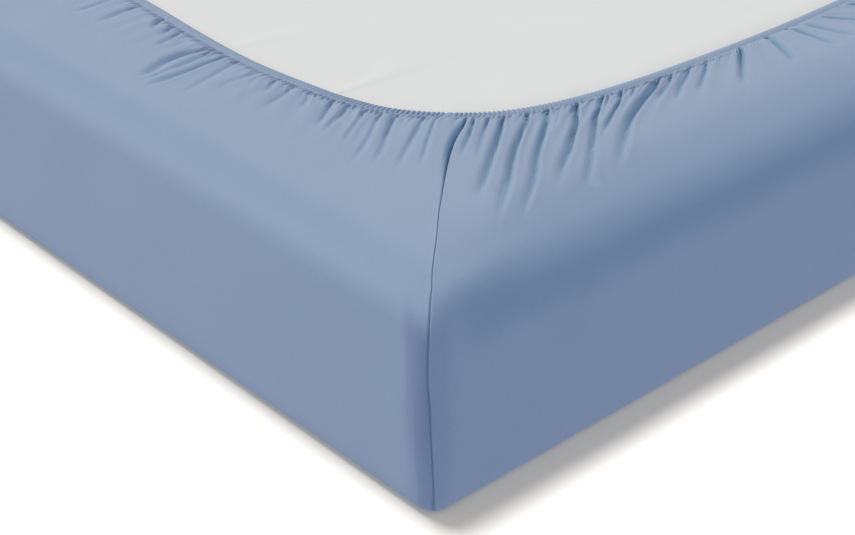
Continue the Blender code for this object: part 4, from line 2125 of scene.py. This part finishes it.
# ---- stitches ----
@dataclass(frozen=True)
class StitchRow:
    """A row of stitches along a line, placed by a node tree."""

    name: str
    pitch: float
    size: Triple
    closed: bool
    seed: int
    finish: Material
    segments: int = 6
    rings: int = 4
    smallest: float = 0.82
    largest: float = 1.12

    def tree(self) -> GeometryNodeTree:
        """Resamples the line and puts a small smooth stitch at each point of it.

        Returns:
            The tree, whose sizes and seed are named inputs.
        """
        tree = bpy.data.node_groups.new(self.name + "_nodes", "GeometryNodeTree")
        kinds = {"Line": "Geometry", "Pitch": "Float", "Size": "Vector"}
        kinds |= {"Smallest": "Float", "Largest": "Float", "Seed": "Int"}
        for name, kind in kinds.items():
            tree.interface.new_socket(name, in_out="INPUT", socket_type="NodeSocket" + kind)
        tree.interface.new_socket("Stitches", in_out="OUTPUT", socket_type="NodeSocketGeometry")
        new = tree.nodes.new
        link = tree.links.new
        start, end = new("NodeGroupInput"), new("NodeGroupOutput")
        curve, resample = new("GeometryNodeMeshToCurve"), new("GeometryNodeResampleCurve")
        resample.mode = "LENGTH"
        link(start.outputs["Line"], curve.inputs[0])
        link(curve.outputs[0], resample.inputs["Curve"])
        link(start.outputs["Pitch"], resample.inputs["Length"])
        ball, shape = new("GeometryNodeMeshUVSphere"), new("GeometryNodeTransform")
        ball.inputs["Segments"].default_value = self.segments
        ball.inputs["Rings"].default_value = self.rings
        ball.inputs["Radius"].default_value = 0.5
        rounded = new("GeometryNodeSetShadeSmooth")
        link(ball.outputs["Mesh"], shape.inputs[0])
        link(start.outputs["Size"], shape.inputs["Scale"])
        link(shape.outputs[0], rounded.inputs[0])
        tangent, across = new("GeometryNodeInputTangent"), new("GeometryNodeInputNamedAttribute")
        across.data_type = "FLOAT_VECTOR"
        across.inputs["Name"].default_value = "across"
        turn, roll = (new("FunctionNodeAlignRotationToVector") for _ in range(2))
        turn.axis, turn.pivot_axis = "X", "AUTO"
        roll.axis, roll.pivot_axis = "Y", "X"
        link(tangent.outputs[0], turn.inputs["Vector"])
        link(turn.outputs[0], roll.inputs["Rotation"])
        link(across.outputs[0], roll.inputs["Vector"])
        uneven = new("FunctionNodeRandomValue")
        lowest_input, highest_input, size_output = uneven.inputs[2], uneven.inputs[3], 1
        link(start.outputs["Smallest"], lowest_input)
        link(start.outputs["Largest"], highest_input)
        link(start.outputs["Seed"], uneven.inputs["Seed"])
        put = new("GeometryNodeInstanceOnPoints")
        link(resample.outputs[0], put.inputs["Points"])
        link(rounded.outputs[0], put.inputs["Instance"])
        link(roll.outputs[0], put.inputs["Rotation"])
        link(uneven.outputs[size_output], put.inputs["Scale"])
        real, dress = new("GeometryNodeRealizeInstances"), new("GeometryNodeSetMaterial")
        dress.inputs["Material"].default_value = self.finish
        link(put.outputs[0], real.inputs[0])
        link(real.outputs[0], dress.inputs[0])
        link(dress.outputs[0], end.inputs[0])
        return tree

    def guide(self, lines: list[tuple[Array, Array]]) -> Object:
        """The lines as a mesh of edges, for the tree to follow.

        Args:
            lines: for each line, its points and the way across it.

        Returns:
            An object that is deleted again once the stitches are made.
        """
        edges, at = [], 0
        for points, _ in lines:
            edges += [(at + k, at + k + 1) for k in range(len(points) - 1)]
            edges += [(at + len(points) - 1, at)] if self.closed else []
            at += len(points)
        path = bpy.data.meshes.new(self.name + "_line")
        path.from_pydata(np.concatenate([points for points, _ in lines]).tolist(), edges, [])
        ways = np.concatenate([across for _, across in lines]).astype(np.float32)
        attribute = path.attributes.new("across", "FLOAT_VECTOR", "POINT")
        attribute.data.foreach_set("vector", ways.ravel())
        return linked(self.name + "_line", path)

    def build(self, lines: list[tuple[Array, Array]]) -> Object:
        """Makes the rows as one plain mesh.

        Args:
            lines: for each line that it follows, its points and the way across it.

        Returns:
            The finished piece.
        """
        guide, tree = self.guide(lines), self.tree()
        modifier = guide.modifiers.new("stitches", "NODES")
        modifier.node_group = tree
        sockets = {item.name: item.identifier for item in tree.interface.items_tree}
        modifier[sockets["Pitch"]] = self.pitch
        modifier[sockets["Size"]] = self.size
        modifier[sockets["Smallest"]] = self.smallest
        modifier[sockets["Largest"]] = self.largest
        modifier[sockets["Seed"]] = self.seed
        bpy.context.view_layer.update()
        seen = guide.evaluated_get(bpy.context.evaluated_depsgraph_get())
        mesh = bpy.data.meshes.new_from_object(seen)
        mesh.name = self.name
        path = guide.data
        bpy.data.objects.remove(guide)
        bpy.data.meshes.remove(path)
        return linked(self.name, mesh)


# ---- the mattress ----
@dataclass
class Mattress:
    """A plain rounded block with a woven cover."""

    bed: Bed
    mouth: Mouth
    finish: Material
    inset: float = 0.007
    bottom: float = 0.0023
    top: float = 0.2130
    radius: float = 0.024
    cell: float = 0.016
    cells_up: int = 10
    rim_share: float = 0.06
    rim_up: int = 3
    rim_reach: float = 1.6
    sink: float = 0.0008
    sink_deep: float = 0.02
    sink_wave: float = 0.25
    sink_waves: tuple[Triple, ...] = ((7, 5, 0), (11, -8, 1))
    press: float = 0.0050
    press_over: float = 0.018
    mouth_skip: int = 40

    @property
    def size(self) -> Array:
        """Width, length and height."""
        width, length = self.bed.half_width - self.inset, self.bed.half_length - self.inset
        return np.array([2 * width, 2 * length, self.top - self.bottom])

    def pressed(self, plan: Array) -> Array:
        """How far the border's pull presses the top in.

        Args:
            plan: points of the plan.

        Returns:
            Shares from 0 inside the mouth to 1 under the border.
        """
        from_corner = np.array([self.bed.half_width, self.bed.half_length]) - np.abs(plan)
        gap = np.full(len(plan), np.inf)
        side = np.ones(len(plan))
        for start in range(0, len(self.mouth.path), self.mouth_skip):
            away = from_corner - self.mouth.path[start]
            far = np.hypot(*away.T)
            closer = far < gap
            gap[closer] = far[closer]
            side[closer] = np.sign((away @ self.mouth.out[start])[closer])
        return smooth(0.5 + gap * side / (2 * self.press_over))

    @staticmethod
    def block(counts: list[int]) -> tuple[Array, list[list[int]]]:
        """The skin of a block of cells.

        Args:
            counts: how many cells it has along each axis.

        Returns:
            Its vertices as whole steps along the axes, and its faces.
        """
        faces, numbers = [], {}
        for axis in range(3):
            u, v = (axis + 1) % 3, (axis + 2) % 3
            for end in (0, counts[axis]):
                for i in range(counts[u]):
                    for j in range(counts[v]):
                        square = []
                        for du, dv in ((0, 0), (1, 0), (1, 1), (0, 1)):
                            where = [0, 0, 0]
                            where[axis], where[u], where[v] = end, i + du, j + dv
                            square.append(numbers.setdefault(tuple(where), len(numbers)))
                        faces.append(square if end else square[::-1])
        return np.array(list(numbers), float), faces

    def eased(self, steps: Array, count: int, size: float, rim: int) -> Array:
        """Shares of one axis, closer together where the block is rounded.

        Args:
            steps: the vertices' steps along it.
            count: how many cells it has.
            size: its length.
            rim: how many cells lie in the rounding at each end.

        Returns:
            Shares from 0 to 1.
        """
        share = self.radius * self.rim_reach / size
        low, high = steps / rim * share, 1 - (count - steps) / rim * share
        middle = share + (steps - rim) / (count - 2 * rim) * (1 - 2 * share)
        inner = np.where(steps > count - rim, high, middle)
        return np.where(steps < rim, low, inner)

    def build(self) -> Object:
        """Rounds a fine block and lets its top sink a little.

        Returns:
            The finished piece.
        """
        size = self.size
        counts = [*(round(side / self.cell) for side in size[:2]), self.cells_up]
        steps, faces = self.block(counts)
        rims = [*(max(2, round(count * self.rim_share)) for count in counts[:2]), self.rim_up]
        shares = [self.eased(steps[:, k], counts[k], size[k], rims[k]) for k in range(3)]
        box = (np.stack(shares, 1) - 0.5) * size
        core = size / 2 - self.radius
        inner = np.clip(box, -core, core)
        away = box - inner
        far = np.maximum(np.linalg.norm(away, axis=1, keepdims=True), TINY)
        points = inner + away / far * self.radius
        points[:, 2] += self.bottom + size[2] / 2
        x, y, height = points.T.copy()
        waves = 0.5
        for by_x, by_y, start in self.sink_waves:
            waves = waves + self.sink_wave * np.sin(by_x * x + by_y * y + start)
        sunk = self.sink * waves + self.press * self.pressed(points[:, :2])
        points[:, 2] -= sunk * (height > self.top - self.sink_deep)
        fallen = self.bed.fallen(self.bed.half_length - np.abs(y))
        points[:, 2] -= fallen * points[:, 2] / self.top
        return mesh_object("mattress_body", points, faces, self.finish)


# ---- the set ----
@dataclass(frozen=True)
class FarLight:
    """A far light: the way to it, its strength and colour, and how wide it looks, in degrees."""

    name: str
    way: Triple
    energy: float
    colour: Triple
    angle: float

    def build(self) -> Object:
        """Adds the light.

        Returns:
            Its object.
        """
        data = bpy.data.lights.new(self.name, "SUN")
        data.energy = self.energy
        data.color = self.colour
        data.angle = math.radians(self.angle)
        made = linked(self.name, data)
        made.rotation_mode = "QUATERNION"
        made.rotation_quaternion = Vector(self.way).to_track_quat("Z", "Y")
        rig.stage(made)
        return made


@dataclass(frozen=True)
class Studio:
    """White floor, soft light from the left, and the photo's camera."""

    camera_place: Triple = (-1.4698, -1.8451, 0.9290)
    camera_yaw: float = 0.8354
    camera_pitch: float = 0.5307
    focal_pixels: float = 1669.0
    photo_pixels: float = 855.0
    sensor: float = 36.0
    view_reach: float = 100.0
    main: FarLight = FarLight("main_light", (-0.36, 1.0, 1.0), 1.75, (1.085, 1.0, 0.735), 24.0)
    floor_only: FarLight = FarLight(
        "floor_light", (0.045, 0.225, 1.0), 4.0, (1.0, 1.10, 1.305), 15.0
    )
    surround: Triple = (0.525, 0.578, 0.685)
    floor_size: float = 40.0
    floor_height: float = -0.0006
    floor_colour: Triple = (0.800, 0.695, 0.555)
    floor_glow: float = 0.08
    floor_roughness: float = 0.95

    def camera(self) -> None:
        """Sets up the camera by its place, heading and tilt."""
        data = bpy.data.cameras.new("photo_camera")
        data.sensor_width = self.sensor
        data.sensor_fit = "HORIZONTAL"
        data.lens = self.sensor * self.focal_pixels / self.photo_pixels
        data.clip_end = self.view_reach
        made = linked("photo_camera", data)
        yaw, pitch = self.camera_yaw, self.camera_pitch
        level = math.cos(pitch)
        forward = Vector((level * math.cos(yaw), level * math.sin(yaw), -math.sin(pitch)))
        right = Vector((math.sin(yaw), -math.cos(yaw), 0.0))
        up = right.cross(forward)
        turned = Matrix((right, up, -forward)).transposed().to_4x4()
        made.matrix_world = Matrix.Translation(self.camera_place) @ turned
        bpy.context.scene.camera = made

    def floor(self) -> Object:
        """Lays a pale floor, which sends no light back: the surround's lower half does that.

        Returns:
            The floor.
        """
        nodes = Nodes("pale_floor")
        shader = nodes.add("BsdfPrincipled")
        nodes.feed(shader, Base_Color=(*self.floor_colour, 1.0), Roughness=self.floor_roughness)
        nodes.feed(shader, Specular_IOR_Level=0.0)
        nodes.feed(shader, Emission_Color=(1, 1, 1, 1), Emission_Strength=self.floor_glow)
        nodes.feed(nodes.add("OutputMaterial"), Surface=shader.outputs[0])
        half, height = self.floor_size / 2, self.floor_height
        corners = np.array([(x * half, y * half, height) for x, y in CORNERS])
        made = mesh_object("floor", corners, [[0, 1, 2, 3]], nodes.material)
        made.visible_diffuse = False
        made.visible_shadow = False
        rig.stage(made)
        return made

    def light(self, floor: Object) -> None:
        """Adds the warm main light, one for the floor's shadow alone, and a cool surround.

        Args:
            floor: what the main light leaves out and the other is for.
        """
        for lamp, state in ((self.main.build(), "EXCLUDE"), (self.floor_only.build(), "INCLUDE")):
            lit = bpy.data.collections.new(lamp.name + "_reach")
            lit.objects.link(floor)
            lamp.light_linking.receiver_collection = lit
            lit.collection_objects[0].light_linking.link_state = state
        world = bpy.data.worlds.new("surround")
        world.use_nodes = True
        world.node_tree.nodes["Background"].inputs["Color"].default_value = (*self.surround, 1.0)
        bpy.context.scene.world = world

    def build(self) -> None:
        """Sets the whole stage."""
        self.camera()
        self.light(self.floor())
        bpy.context.scene.view_settings.view_transform = "Standard"


@dataclass
class SheetOnMattress:
    """The whole object. flat_size and flat_area are those of the sheet's cut, in metres."""

    bed: Bed
    flat_size: tuple[float, float] = (2.2, 2.8)
    flat_area: float = 5.5
    hem_row_at: float = 0.90
    hem_row_lift: float = 0.0001
    hem_row_step: float = 0.0012

    def build(self) -> None:
        """Makes, dresses and declares every piece."""
        ring = Round(Mouth(self.bed))
        gathers = Gathers(ring)
        relief = Relief(self.bed, gathers)
        jersey, thread = JerseyFinish().make(), ThreadFinish().make()
        cloth, seams = FittedSheet(self.bed, ring, relief, Weave(), jersey).build()
        casing = HemCasing(self.bed, gathers, jersey)
        band = casing.build()
        hem_line = casing.line(self.hem_row_at, self.hem_row_lift, self.hem_row_step)
        hem_row = StitchRow(
            name="hem_stitching",
            pitch=0.0034,
            size=(0.0021, 0.0003, 0.0003),
            closed=True,
            seed=3,
            finish=thread,
        )
        seam_row = StitchRow(
            name="corner_seam_stitching",
            pitch=0.0035,
            size=(0.0005, 0.0018, 0.0004),
            closed=False,
            seed=4,
            finish=thread,
        )
        parts = [band, hem_row.build([hem_line]), seam_row.build(seams)]
        mattress = Mattress(self.bed, ring.mouth, CoverFinish().make()).build()
        declare(cloth, Slot.CLOTH, "sheet")
        declare(mattress, Slot.COVER, "mattress")
        for part in parts:
            declare(part, Slot.CLOTH)
        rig.sheet(
            cloth,
            flat=self.flat_size,
            held="stretched",
            rests_on=[mattress.name],
            area=self.flat_area,
            with_pieces=parts,
        )


def write_sizes() -> None:
    """Writes the CAD's box and the visual model's, for comparison."""
    boxes = {"cad": CAD_BOX, "visual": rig.bounds()}
    plain = {name: [[float(x) for x in corner] for corner in box] for name, box in boxes.items()}
    with open("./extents.json", "w") as out:
        json.dump(plain, out)


def main() -> None:
    """Builds the object and its stage, with the outline's size from the CAD, to 0.1 mm."""
    logging.basicConfig(level=logging.INFO, format="%(name)s: %(message)s")
    half_width, half_length, _ = (round(float(x), 4) for x in CAD_BOX[1])
    SheetOnMattress(Bed(half_width, half_length)).build()
    Studio().build()
    write_sizes()
    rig.finish()


if __name__ == "__main__":
    main()
